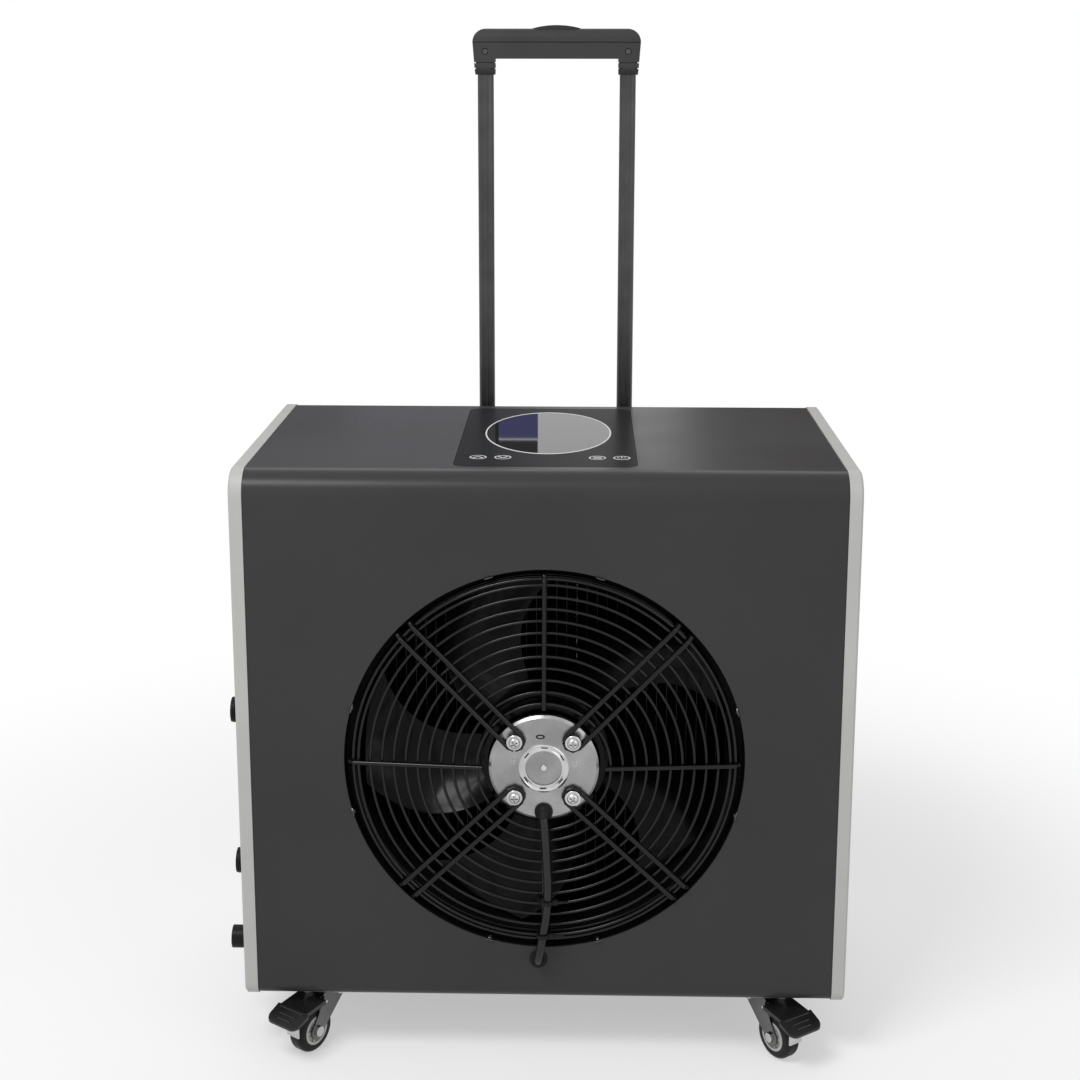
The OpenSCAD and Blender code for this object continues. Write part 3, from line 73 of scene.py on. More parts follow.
CAP = box_mm("motor_cap")
FAN_X = (CAP[0].x + CAP[1].x) / 2
FAN_Z = (CAP[0].z + CAP[1].z) / 2
CAP_FACE = CAP[0].y
PANEL = box_mm("control_panel")
DISPLAY = box_mm("display_window")
GLASS_Z = PANEL[1].z

# Camera: the photograph's own view
CAMERA_PLACE = (31.5, -1514.4, 880.5)
CAMERA_PITCH = 0.20258
CAMERA_YAW = 0.02349
CAMERA_ROLL = 0.00106
IMAGE_PX = 1080
FOCAL_PX = 1730.3
CENTRE_ROW_PX = 420.0
SENSOR = 36.0


def make_camera():
    data = bpy.data.cameras.new("camera")
    data.sensor_width = SENSOR
    data.lens = FOCAL_PX / IMAGE_PX * SENSOR
    data.shift_y = (CENTRE_ROW_PX - IMAGE_PX / 2) / IMAGE_PX
    camera = bpy.data.objects.new("camera", data)
    bpy.context.scene.collection.objects.link(camera)
    turn = Matrix.Rotation(CAMERA_YAW, 4, "Z") @ Matrix.Rotation(math.pi / 2 - CAMERA_PITCH, 4, "X")
    place = Matrix.Translation(at(*CAMERA_PLACE))
    camera.matrix_world = place @ turn @ Matrix.Rotation(CAMERA_ROLL, 4, "Z")
    bpy.context.scene.camera = camera


make_camera()


# Tools for materials
NEUTRAL = (1.0, 1.0, 1.0)
EVEN = (1.0, 1.0, 1.0)
SCRATCHES = (0.15, 1.0, 1.6)
SPREAD_SPAN = (0.3, 0.7)
TINT_SPAN = (0.35, 0.65)


def grey(value, tint=NEUTRAL):
    """A colour given as a screen value from 0 to 255, as the shader wants it, by the sRGB curve."""
    c = value / 255
    line = c / 12.92 if c <= 0.04045 else ((c + 0.055) / 1.055) ** 2.4
    return (line * tint[0], line * tint[1], line * tint[2], 1.0)


class Paint:
    """A material with its shader, and the few node chains that the finishes share."""

    def __init__(self, name, color, rough, metal=0.0, coat=0.0, coat_rough=0.1, level=0.5):
        self.mat = bpy.data.materials.new(name)
        self.mat.use_nodes = True
        self.tree = self.mat.node_tree
        self.shader = self.tree.nodes["Principled BSDF"]
        self.coords = self.tree.nodes.new("ShaderNodeTexCoord").outputs["Object"]
        self.color = color
        self.normal = None
        self.shader.inputs["Base Color"].default_value = color
        self.shader.inputs["Roughness"].default_value = rough
        self.shader.inputs["Metallic"].default_value = metal
        self.shader.inputs["Coat Weight"].default_value = coat
        self.shader.inputs["Coat Roughness"].default_value = coat_rough
        self.shader.inputs["Specular IOR Level"].default_value = level
        self.mat.diffuse_color = color

    def node(self, kind, **values):
        """A node with its own settings and the plain values of its sockets."""
        made = self.tree.nodes.new(kind)
        for key, value in values.items():
            if hasattr(made, key):
                setattr(made, key, value)
            else:
                made.inputs[key].default_value = value
        return made

    def link(self, a, b):
        self.tree.links.new(a, b)

    def noise(self, scale, detail, stretch=EVEN):
        """Noise with its scale given as grains a metre, longer along an axis where stretch is small."""
        place = self.node("ShaderNodeMapping")
        place.inputs["Scale"].default_value = stretch
        self.link(self.coords, place.inputs["Vector"])
        made = self.node("ShaderNodeTexNoise", Scale=scale, Detail=detail)
        self.link(place.outputs["Vector"], made.inputs["Vector"])
        return made.outputs["Fac"]

    def bump(self, height, strength, depth_mm):
        made = self.node("ShaderNodeBump", Strength=strength, Distance=depth_mm * MM)
        self.link(height, made.inputs["Height"])
        if self.normal:
            self.link(self.normal, made.inputs["Normal"])
        self.normal = made.outputs["Normal"]
        self.link(self.normal, self.shader.inputs["Normal"])

    def ramp(self, factor, start, end, low=0.0, high=1.0):
        """Maps a factor between start and end to the range from low to high."""
        made = self.node("ShaderNodeMapRange")
        for key, value in (("From Min", start), ("From Max", end), ("To Min", low), ("To Max", high)):
            made.inputs[key].default_value = value
        self.link(factor, made.inputs["Value"])
        return made.outputs["Result"]

    def spread(self, factor, low, high):
        """Lets the roughness run from low to high by a factor."""
        self.link(self.ramp(factor, *SPREAD_SPAN, low, high), self.shader.inputs["Roughness"])
        return self

    def tint(self, factor, other):
        """Mixes the base colour towards another one by a factor."""
        share = self.ramp(factor, *TINT_SPAN)
        mix = self.node("ShaderNodeMix", data_type="RGBA")
        for key in ("A", "B"):
            socket = [s for s in mix.inputs if s.name == key and s.type == "RGBA"][0]
            socket.default_value = self.color if key == "A" else other
        self.link(share, mix.inputs[0])
        out = [s for s in mix.outputs if s.type == "RGBA"][0]
        self.link(out, self.shader.inputs["Base Color"])
        return self


def powder_coat(name, value, tint, rough, level=0.02):
    paint = Paint(name, grey(value, tint), rough, level=level)
    paint.bump(paint.noise(scale=2600, detail=2), strength=0.10, depth_mm=0.05)
    paint.bump(paint.noise(scale=420, detail=3), strength=0.05, depth_mm=0.10)
    paint.spread(paint.noise(scale=9, detail=3), low=rough - 0.03, high=rough + 0.04)
    return paint.tint(paint.noise(scale=5, detail=3), grey(value + 3, tint)).mat


def moulded_plastic(name, value, rough, tint=NEUTRAL, scale=1500, strength=0.18, level=0.12):
    paint = Paint(name, grey(value, tint), rough, level=level)
    paint.bump(paint.noise(scale, detail=3), strength, depth_mm=0.08)
    paint.spread(paint.noise(scale=30, detail=4), low=rough - 0.05, high=rough + 0.06)
    return paint.tint(paint.noise(scale=14, detail=3), grey(value + 4, tint)).mat


def rubber(name, value, rough=0.55):
    paint = Paint(name, grey(value), rough, level=0.12)
    paint.bump(paint.noise(scale=1900, detail=4), strength=0.25, depth_mm=0.06)
    paint.spread(paint.noise(scale=45, detail=4), low=rough - 0.08, high=rough + 0.1)
    return paint.tint(paint.noise(scale=25, detail=3), grey(value + 8)).mat


def metal(name, value, rough, scale, strength, grain=EVEN, tint=NEUTRAL):
    paint = Paint(name, grey(value, tint), rough, metal=1.0)
    paint.bump(paint.noise(scale, 4, grain), strength, depth_mm=0.03)
    paint.spread(paint.noise(60, 5, grain), low=rough * 0.75, high=rough * 1.3)
    return paint.tint(paint.noise(scale=35, detail=4), grey(value * 0.9, tint)).mat


def gloss_paint(name, value, rough, coat, level):
    paint = Paint(name, grey(value), rough, coat=coat, coat_rough=0.08, level=level)
    paint.bump(paint.noise(scale=260, detail=2), strength=0.12, depth_mm=0.08)
    return paint.spread(paint.noise(scale=50, detail=3), low=rough - 0.06, high=rough + 0.08).mat


def black_glass(name, value, rough, coat, level):
    paint = Paint(name, grey(value, (0.97, 1.0, 1.05)), rough, coat=coat, coat_rough=0.02, level=level)
    return paint.spread(paint.noise(scale=18, detail=3), low=rough - 0.02, high=rough + 0.03).mat


def turned_aluminium(name, value):
    """Face-turned metal: fine rings round the fan's axis, with light scratches across."""
    paint = Paint(name, grey(value), 0.3, metal=1.0)
    shift = paint.node("ShaderNodeMapping")
    shift.inputs["Location"].default_value = -at(FAN_X, 0, FAN_Z)
    paint.link(paint.coords, shift.inputs["Vector"])
    rings = paint.node("ShaderNodeTexWave", wave_type="RINGS", rings_direction="Y", Scale=900, Distortion=1.2)
    paint.link(shift.outputs["Vector"], rings.inputs["Vector"])
    paint.bump(rings.outputs["Fac"], strength=0.06, depth_mm=0.03)
    paint.bump(paint.noise(240, 5, SCRATCHES), strength=0.15, depth_mm=0.03)
    paint.spread(paint.noise(scale=40, detail=5), low=0.24, high=0.42)
    return paint.tint(paint.noise(scale=28, detail=5), grey(value * 0.86)).mat


WARM = (1.0, 1.0, 0.965)
COPPER = (1.0, 0.62, 0.45)
WINDING = (1.0, 0.55, 0.35)
finish = {
    "cover": powder_coat("charcoal_powder_coat", 53, (1.0, 0.995, 1.0), rough=0.3, level=0.14),
    "frame": moulded_plastic("pale_side_plastic", 172, 0.5, WARM, scale=2200, strength=0.12, level=0.3),
    "rear": powder_coat("rear_powder_coat", 52, (1.0, 1.0, 1.01), rough=0.5),
    "pan": powder_coat("pan_powder_coat", 66, NEUTRAL, rough=0.55),
    "shroud": moulded_plastic("shroud_plastic", 15, 0.5, level=0.05),
    "guard": gloss_paint("guard_enamel", 12, rough=0.15, coat=0.1, level=0.22),
    "blade": gloss_paint("blade_enamel", 5, rough=0.22, coat=0.06, level=0.1),
    "cap": turned_aluminium("turned_aluminium", 164),
    # The cap's own aluminium drawn lighter on its pressed ring, boss and dimples: a painted highlight
    "ring_painted_highlight": metal("pressed_aluminium_painted_highlight", 205, rough=0.2, scale=160, strength=0.12),
    "winding": metal("copper_winding", 150, 0.5, scale=60, strength=0.4, grain=(1, 40, 1), tint=WINDING),
    "copper": metal("copper_line", 205, rough=0.32, scale=90, strength=0.2, tint=COPPER),
    "zinc": metal("zinc_plate", 200, rough=0.26, scale=160, strength=0.12),
    # Fork plating drawn much darker than the zinc: a painted reflection of dark surroundings
    "chrome_painted_reflection": metal("fork_plate_painted_reflection", 112, rough=0.22, scale=90, strength=0.06),
    "steel": metal("ground_steel", 150, rough=0.35, scale=200, strength=0.2, grain=(1, 30, 1)),
    "fins": metal("fin_aluminium", 58, rough=0.5, scale=90, strength=0.2, grain=(1, 1, 14)),
    # Near black with no sheen: painted shade on the condenser fins deep inside the cabinet
    "fins_painted_shade": moulded_plastic("fins_painted_shade", 15, 0.6, level=0.0),
    "dark_zinc": metal("dark_zinc", 96, rough=0.34, scale=160, strength=0.12),
    "rubber": rubber("black_rubber", 24),
    "foam": rubber("insulation_foam", 30, rough=0.85),
    "sheath": gloss_paint("cable_sheath", 22, rough=0.26, coat=0.1, level=0.3),
    "tyre": rubber("tyre_rubber", 30, rough=0.42),
    "plastic": moulded_plastic("black_plastic", 24, 0.42),
    "pedal": moulded_plastic("pedal_plastic", 24, 0.28, scale=700, strength=0.2, level=0.5),
    "grip": moulded_plastic("grip_plastic", 59, 0.46, scale=900, strength=0.35, level=0.06),
    "button": moulded_plastic("button_plastic", 50, 0.4, scale=900, strength=0.2, level=0.06),
    "tube": metal("anodised_tube", 80, rough=0.34, scale=120, strength=0.12, grain=(14, 14, 0.4)),
    "hub": moulded_plastic("hub_plastic", 176, 0.45, WARM),
    "glass": black_glass("panel_glass", 38, rough=0.3, coat=0.0, level=0.01),
    "display": black_glass("display_glass", 40, rough=0.06, coat=0.95, level=0.0),
    "ink": moulded_plastic("panel_ink", 205, 0.5),
    # Near black for the grip's seam, and painted shade in the screw recesses and in the cap's stake dents and
    # oval slot
    "dark": moulded_plastic("dark_seam_and_painted_shade", 20, 0.6),
}

NODE_FINISH = {
    "front_top_cover": "cover", "side_frame_left": "frame", "side_frame_right": "frame",
    "rear_panel": "rear", "base_pan": "pan", "fan_shroud": "shroud", "fan_guard": "guard",
    "motor_cap": "cap", "motor_stator": "winding", "fan_screws": "zinc", "cable_grommets": "rubber",
    "fan_cable": "sheath", "cable_ties": "plastic", "condenser_coil": "fins", "compressor": "guard",
    "compressor_feet": "rubber", "evaporator": "foam", "water_pump": "plastic",
    "refrigerant_lines": "copper", "water_pipes": "rubber", "control_box": "plastic",
    "control_panel": "glass", "display_window": "display", "water_inlet": "plastic",
    "water_outlet": "plastic", "drain_plug": "plastic", "power_gland": "plastic",
    "handle_sleeves": "tube", "upper_bracket": "frame", "lower_bracket": "frame",
    "castor_plates": "zinc", "fan_rotor": "blade", "motor_shaft": "steel", "fan_impeller": "blade",
    "handle_tubes": "tube", "grip_upper": "grip", "grip_lower": "grip", "grip_screws": "dark_zinc",
    "button_spring": "zinc", "release_button": "button",
}
GROUP_FINISH = {"fork": "chrome_painted_reflection", "axle": "zinc", "hub": "hub", "tyre": "tyre", "brake_pedal": "pedal",
                "brake_blade": "zinc"}


def dress(node):
    """Gives a CAD node its finish through its own material slots."""
    named = NODE_FINISH.get(node)
    kind = named or next(v for k, v in GROUP_FINISH.items() if node.startswith(k))
    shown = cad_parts[node]
    if not shown.material_slots:
        shown.data.materials.append(finish[kind])
    for place in shown.material_slots:
        place.material = finish[kind]


for node_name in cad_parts:
    dress(node_name)


# Tools for meshes, all in millimetres in the cabinet's frame
SAME_MM = 0.002


class Shape:
    """Points and faces that grow by simple forms."""

    def __init__(self):
        self.points = []
        self.faces = []

    def add(self, points, faces):
        base = len(self.points)
        self.points += [Vector(p) for p in points]
        self.faces += [[base + i for i in f] for f in faces]

    def rings(self, rings, ends=True):
        """Joins equal closed rings of points, one after another, with or without a face at each end."""
        n = len(rings[0])
        faces = []
        for i in range(len(rings) - 1):
            for k in range(n):
                a, b = i * n + k, i * n + (k + 1) % n
                faces.append([a, b, b + n, a + n])
        if ends:
            faces.append([n - 1 - k for k in range(n)])
            faces.append([(len(rings) - 1) * n + k for k in range(n)])
        self.add([p for ring in rings for p in ring], faces)

    def lathe(self, profile, centre, axis, steps):
        """Turns a closed profile of (radius, height) points round an axis."""
        w = Vector(axis).normalized()
        u = w.orthogonal().normalized()
        v = w.cross(u)
        rings = []
        for radius, height in (*profile, profile[0]):
            ring = []
            for k in range(steps):
                a = 2 * math.pi * k / steps
                ring.append(Vector(centre) + w * height + radius * (math.cos(a) * u + math.sin(a) * v))
            rings.append(ring)
        self.rings(rings, ends=False)

    def tube(self, path, radius, sides):
        """A round tube along points, turned as little as possible from ring to ring."""
        path = [Vector(p) for p in path]
        rings = []
        side = None
        for i, p in enumerate(path):
            t = (path[min(i + 1, len(path) - 1)] - path[max(i - 1, 0)]).normalized()
            side = t.orthogonal().normalized() if side is None else (side - t * side.dot(t)).normalized()
            other = t.cross(side)
            r = radius[i] if isinstance(radius, list) else radius
            rings.append([p + r * (math.cos(2 * math.pi * k / sides) * side
                                   + math.sin(2 * math.pi * k / sides) * other) for k in range(sides)])
        self.rings(rings)

    def prism(self, outline, base, u, v, w):
        """Extrudes a flat outline of (a, b) points by the vector w."""
        base, u, v, w = Vector(base), Vector(u), Vector(v), Vector(w)
        low = [base + a * u + b * v for a, b in outline]
        self.rings([low, [p + w for p in low]])


def piece(name, shape, kind, body, angle=35):
    """Makes an object of a shape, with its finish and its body."""
    mesh = bpy.data.meshes.new(name)
    mesh.from_pydata([ORIGIN + p * MM for p in shape.points], [], shape.faces)
    build = bmesh.new()
    build.from_mesh(mesh)
    bmesh.ops.remove_doubles(build, verts=build.verts, dist=SAME_MM * MM)
    bmesh.ops.recalc_face_normals(build, faces=build.faces)
    build.to_mesh(mesh)
    build.free()
    mesh.update()
    mesh.shade_smooth()
    mesh.set_sharp_from_angle(angle=math.radians(angle))
    mesh.materials.append(finish[kind])
    made = bpy.data.objects.new(name, mesh)
    bpy.context.scene.collection.objects.link(made)
    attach(made, body)
    return made


def ellipse(rx, ry, steps=48, cx=0.0, cy=0.0):
    """The flat outline of an ellipse."""
    turns = [2 * math.pi * k / steps for k in range(steps)]
    return [(cx + rx * math.cos(a), cy + ry * math.sin(a)) for a in turns]


def spoke(a):
    """The way out from the fan's axis at an angle, and the way round it there."""
    return Vector((math.cos(a), 0, math.sin(a))), Vector((-math.sin(a), 0, math.cos(a)))


# Control panel: a fine ring round the display and four generic key symbols
INK_T = 0.12
RING_W = 1.5
RING_STEPS = 160
KEY_Y = 70.0
KEY_R = 8.0
KEY_LINE = 1.25
KEYS = {"up": -63.9, "down": -40.6, "menu": 48.2, "power": 71.1}
ARROW_HALF = 4.2
ARROW_FOOT = 2.2
ARROW_TIP = 2.6
ARROW_STEP = 1.1
MENU_HALF = 3.6
MENU_ROWS = (-2.6, 0.0, 2.6)
POWER_R = 3.8
POWER_DEGREES = range(40, 330, 20)
POWER_BAR = (0.5, 5.0)


def flat_band(shape, inner, outer, z):
    """A thin raised band between two outlines of equal length, closed all round."""
    corners = ((inner, z), (inner, z + INK_T), (outer, z + INK_T), (outer, z), (inner, z))
    shape.rings([[Vector((x, y, height)) for x, y in outline] for outline, height in corners], ends=False)


def stroke(shape, points, z):
    """A line of even width through flat points."""
    for (ax, ay), (bx, by) in zip(points, points[1:]):
        along = Vector((bx - ax, by - ay, 0)).normalized()
        side = Vector((-along.y, along.x, 0)) * KEY_LINE / 2
        a = Vector((ax, ay, z)) - along * KEY_LINE / 3
        b = Vector((bx, by, z)) + along * KEY_LINE / 3
        low = [a - side, b - side, b + side, a + side]
        shape.rings([low, [p + UP * INK_T for p in low]])


def make_panel_print():
    shape = Shape()
    mid = (DISPLAY[0] + DISPLAY[1]) / 2
    rx = (DISPLAY[1].x - DISPLAY[0].x) / 2
    ry = (DISPLAY[1].y - DISPLAY[0].y) / 2
    inner = ellipse(rx - RING_W, ry - 2 * RING_W, RING_STEPS, mid.x, mid.y)
    flat_band(shape, inner, ellipse(rx, ry, RING_STEPS, mid.x, mid.y), GLASS_Z)
    for key, x in KEYS.items():
        inner, outer = [ellipse(r, r, cx=x, cy=KEY_Y) for r in (KEY_R - KEY_LINE, KEY_R)]
        flat_band(shape, inner, outer, GLASS_Z)
        if key in ("up", "down"):
            way = 1 if key == "up" else -1
            foot = KEY_Y - way * ARROW_FOOT
            tips = [(x - ARROW_HALF, foot), (x, KEY_Y + way * ARROW_TIP), (x + ARROW_HALF, foot)]
            stroke(shape, tips, GLASS_Z)
            stroke(shape, [(a, b - way * ARROW_STEP) for a, b in tips], GLASS_Z + INK_T / 4)
        if key == "menu":
            for row in MENU_ROWS:
                stroke(shape, [(x - MENU_HALF, KEY_Y + row), (x + MENU_HALF, KEY_Y + row)], GLASS_Z)
        if key == "power":
            arc = [(x + POWER_R * math.sin(math.radians(d)), KEY_Y + POWER_R * math.cos(math.radians(d)))
                   for d in POWER_DEGREES]
            stroke(shape, arc, GLASS_Z)
            stroke(shape, [(x, KEY_Y + end) for end in POWER_BAR], GLASS_Z)
    piece("panel_print", shape, "ink", "cabinet", angle=30)


make_panel_print()

# Fan: smooth blades with the same sweep and twist as the solid ones
HUB_R = 57.5
HUB_WALL = 4.0
HUB_FRONT = 22.0
HUB_BACK = 56.0
BLADE_COUNT = 5
BLADE_TIP_R = 172.0
BLADE_MID = 41.0
BLADE_PHASE = 55.0
BLADE_SWEEP = 26.0
BLADE_CAMBER_SHARE = 0.09
BLADE_THICK = 2.4
BLADE_EDGE_SHARE = 0.2
BLADE_TIP_START = 0.985
BLADE_TIP_SHARE = 0.4
HUB_EDGE = 1.0
HUB_LIFT = 0.1
CHORDS = (62.0, 112.0)
PITCHES = (38.0, 17.0)
SPAN_STEPS = 28
CHORD_STEPS = 22


def fan_point(x, y, z):
    """A point of the fan's own frame, with z into the cabinet, in the cabinet's frame."""
    return Vector((FAN_X + x, z, FAN_Z - y))


def blade_point(s, t, side, phase):
    r = HUB_R + HUB_WALL / 2 + (BLADE_TIP_R - HUB_R - HUB_WALL / 2) * s
    chord = CHORDS[0] + (CHORDS[1] - CHORDS[0]) * s
    pitch = math.radians(PITCHES[0] + (PITCHES[1] - PITCHES[0]) * s)
    arch = 1 - (2 * t - 1) ** 2
    swell = BLADE_EDGE_SHARE + (1 - BLADE_EDGE_SHARE) * arch ** 0.5
    thick = BLADE_THICK * swell / 2 * (1 if s < BLADE_TIP_START else BLADE_TIP_SHARE)
    along = (t - 0.5) * chord
    across = BLADE_CAMBER_SHARE * chord * arch + side * thick
    arc = along * math.cos(pitch) - across * math.sin(pitch)
    axial = along * math.sin(pitch) + across * math.cos(pitch)
    turn = arc / r + math.radians(BLADE_SWEEP * s * s + phase)
    return fan_point(r * math.cos(turn), r * math.sin(turn), BLADE_MID + axial)


def make_impeller():
    shape = Shape()
    inner, outer = HUB_R + HUB_LIFT, HUB_R + HUB_WALL
    shape.lathe([
        (inner, HUB_FRONT), (outer - HUB_EDGE, HUB_FRONT), (outer, HUB_FRONT + HUB_EDGE),
        (outer, HUB_BACK - HUB_EDGE), (outer - HUB_EDGE, HUB_BACK), (inner, HUB_BACK),
    ], (FAN_X, 0, FAN_Z), BACK, steps=96)
    for k in range(BLADE_COUNT):
        phase = 360 / BLADE_COUNT * k - BLADE_PHASE
        rings = []
        for i in range(SPAN_STEPS + 1):
            s = i / SPAN_STEPS
            upper = [blade_point(s, j / CHORD_STEPS, 1, phase) for j in range(CHORD_STEPS + 1)]
            lower = [blade_point(s, 1 - j / CHORD_STEPS, -1, phase) for j in range(CHORD_STEPS + 1)]
            rings.append(upper + lower)
        shape.rings(rings)
    made = piece("impeller_blades", shape, "blade", "rotor", angle=50)
    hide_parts("fan_impeller")


make_impeller()

# Condenser: the fins between the solid ones, at their real pitch, near black with no sheen as painted shade
# of the cabinet's inside
COIL_W = 452.0
COIL_FINS = 45
FIN_SPLIT = 5
FIN_SOLID_T = 0.6
FIN_T = 0.25
FIN_WAVE = 1.1
FIN_FOLDS = 7
FIN_GAP = 0.05
FIN_DROP = 215.0
FIN_TOP_GAP = 1.0
COIL_FRONT = 98.0
COIL_BACK = 124.0


def make_fins():
    shape = Shape()
    coil = box_mm("condenser_coil")
    low, high = FAN_Z - FIN_DROP, coil[1].z - FIN_TOP_GAP
    pitch = COIL_W / (COIL_FINS + 1)
    first = FIN_SOLID_T + FIN_WAVE + FIN_GAP
    last = pitch - FIN_WAVE - FIN_T - FIN_GAP
    for i in range(COIL_FINS + 1):
        for k in range(FIN_SPLIT - 1):
            x = i * pitch - COIL_W / 2 + first + (last - first) * k / (FIN_SPLIT - 2)
            fold = [(x + (FIN_WAVE if j % 2 else -FIN_WAVE),
                     COIL_FRONT + (COIL_BACK - COIL_FRONT) * j / FIN_FOLDS) for j in range(FIN_FOLDS + 1)]
            outline = fold + [(a + FIN_T, b) for a, b in reversed(fold)]
            shape.prism(outline, UP * low, ACROSS, BACK, UP * (high - low))
    piece("condenser_fins", shape, "fins_painted_shade", "cabinet")


make_fins()

# Grip: the dark seam between its halves, and a dark ring round each screw as painted shade in its recess
SEAM_H = 0.9
SEAM_OUT = 0.05
SEAM_IN = 0.25
SEAM_STEPS = 12
GRIP_CORNER = 0.3
GRIP_CORNERS = ((1, 1), (-1, 1), (-1, -1), (1, -1))
SCREW_HEAD = 3.4
SCREW_SHADE_RING = ((2.6, 0.3), (2.6, -0.12), (3.5, -0.12), (3.5, 0.3))


def make_grip_trim():
    upper = box_mm("grip_upper")
    screws = box_mm("grip_screws")
    shape = Shape()
    mid = (upper[0] + upper[1]) / 2
    half = (upper[1] - upper[0]) / 2
    rings = []
    rise = UP * SEAM_H / 2
    inset_x, inset_y = half.x - GRIP_CORNER, half.y - GRIP_CORNER
    for k, (sx, sy) in enumerate(GRIP_CORNERS):
        for i in range(SEAM_STEPS + 1):
            a = math.pi / 2 * (k + i / SEAM_STEPS)
            out = Vector((math.cos(a), math.sin(a), 0))
            edge = Vector((mid.x + sx * inset_x, mid.y + sy * inset_y, upper[0].z))
            edge += out * (GRIP_CORNER - SEAM_IN)
            far = edge + out * (SEAM_IN + SEAM_OUT)
            rings.append([edge - rise, far - rise, far + rise, edge + rise])
    shape.rings(rings + [rings[0]], ends=False)
    piece("grip_seam", shape, "dark", "handle", angle=40)
    # A dark ring round each screw head: painted shade in the screw's recess
    recess = Shape()
    for x in (screws[0].x + SCREW_HEAD, screws[1].x - SCREW_HEAD):
        place = (x, screws[0].y, (screws[0].z + screws[1].z) / 2)
        recess.lathe(SCREW_SHADE_RING, place, BACK, steps=32)
    piece("grip_recess_painted_shade", recess, "dark", "handle", angle=40)


make_grip_trim()

# Button spring: a fine coil in place of the solid one
SPRING_WIRE_R = 0.4
SPRING_TURNS = 5
SPRING_STEPS = 32


def make_spring():
    low, high = box_mm("button_spring")
    mid = (low + high) / 2
    radius = (high.x - low.x) / 2 - SPRING_WIRE_R
    rise = high.z - low.z - 2 * SPRING_WIRE_R
    count = SPRING_TURNS * SPRING_STEPS
    path = []
    for i in range(count + 1):
        a = 2 * math.pi * i / SPRING_STEPS
        path.append((mid.x + radius * math.cos(a), mid.y + radius * math.sin(a),
                     low.z + SPRING_WIRE_R + rise * i / count))
    shape = Shape()
    shape.tube(path, SPRING_WIRE_R, sides=12)
    made = piece("press_spring", shape, "zinc", "handle", angle=40)
    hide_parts("button_spring")
    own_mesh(made)


make_spring()

# Motor cap: pressed rings, dimples, stake marks and an oval, with heights counted back from its face; painted
# shade in the stake dents and round the oval, and a painted highlight on the rings
RING_IN = 17.0
RING_OUT = 23.0
RING_ROOT = 0.35
RING_PROFILE = (
    (RING_IN, RING_ROOT), (RING_IN, -0.55), (RING_IN + 1.1, -0.9), (RING_IN + 2.2, -0.25),
    (RING_OUT - 1.8, -0.25), (RING_OUT - 0.8, -0.8), (RING_OUT, -0.3), (RING_OUT, RING_ROOT),
)
CENTRE_PROFILE = ((0.01, 1.05), (0.01, 0.1), (2.6, 0.1), (3.2, 0.9))
DIMPLES = ((-29.0, 6.0, 2.2), (28.5, 4.5, 2.4))
DIMPLE_LIP = ((-0.8, 0.65), (-0.5, 0.25), (0.0, 0.25), (0.3, 0.65))
STAKES = (32, 88, 142, 214, 268, 322)
STAKE_OUTLINE = ((-2.9, -0.6), (2.9, -0.6), (3.2, 0.0), (2.9, 0.6), (-2.9, 0.6), (-3.2, 0.0))
STAKE_FACE = -0.3
STAKE_DEEP = 0.4
OVAL_X = -3.2
OVAL_Z = 30.5
OVAL_PAINTED_SHADE = (4.2, 2.3, 0.5)
OVAL_BRIGHT = (2.6, 1.1, 0.35)
OVAL_DEEP = 0.2


def oval(shape, rx, ry, height):
    base = (FAN_X + OVAL_X, CAP_FACE + height, FAN_Z + OVAL_Z)
    shape.prism(ellipse(rx, ry, steps=24), base, ACROSS, UP, BACK * OVAL_DEEP)


def make_cap_trim():
    centre = Vector((FAN_X, CAP_FACE, FAN_Z))
    ring = Shape()
    ring.lathe(RING_PROFILE, centre, BACK, steps=96)
    ring.lathe(CENTRE_PROFILE, centre, BACK, steps=32)
    for x, z, r in DIMPLES:
        lip = [(r + out, height) for out, height in DIMPLE_LIP]
        ring.lathe(lip, centre + Vector((x, 0, z)), BACK, steps=24)
    # A lighter finish than the cap's face: painted highlight on the ring, boss and dimples
    piece("cap_rings_painted_highlight", ring, "ring_painted_highlight", "cabinet", angle=25)
    # Dark stake marks and a dark rim round the oval: painted shade in the cap's dents and slot
    dark = Shape()
    for degree in STAKES:
        out, side = spoke(math.radians(degree))
        base = centre + BACK * STAKE_FACE + out * (RING_IN + RING_OUT) / 2
        dark.prism(STAKE_OUTLINE, base, side, out, BACK * STAKE_DEEP)
    oval(dark, *OVAL_PAINTED_SHADE)
    piece("cap_painted_shade_marks", dark, "dark", "cabinet", angle=25)
    bright = Shape()
    oval(bright, *OVAL_BRIGHT)
    piece("cap_oval", bright, "cap", "cabinet", angle=25)


make_cap_trim()

# Screws: pan heads with a pressed cross, each over the washer of the solid screw
HEAD_STEPS = 40
HEAD_RINGS = 14
HEAD_RIM_SHARE = 0.3
CROSS_LONG_SHARE = 0.62
CROSS_WIDE_SHARE = 0.13
CROSS_DEEP_SHARE = 0.55
CROSS_END_SLOPE = 0.08
CROSS_SIDE_SLOPE = 0.05
WASHER_R = 7.3
WASHER_Y = 3.6
WASHER_PROFILE = ((2.0, 1.4), (7.0, 1.4), (WASHER_R, 1.1), (WASHER_R, 0.3), (6.9, 0.0), (2.0, 0.0))
FAN_HEAD = (5.2, 3.2)
SHANK_R = 2.9
SHANK_START = 1.2
SHANK_END = 6.0
CORE_R = 0.01


def cross_depth(x, y):
    """1 inside a cross of unit size, falling to 0 at its edges."""
    depth = 0.0
    for a, b in ((abs(x), abs(y)), (abs(y), abs(x))):
        end, side = (CROSS_LONG_SHARE - a) / CROSS_END_SLOPE, (CROSS_WIDE_SHARE - b) / CROSS_SIDE_SLOPE
        depth = max(depth, min(end, side, 1.0))
    return depth


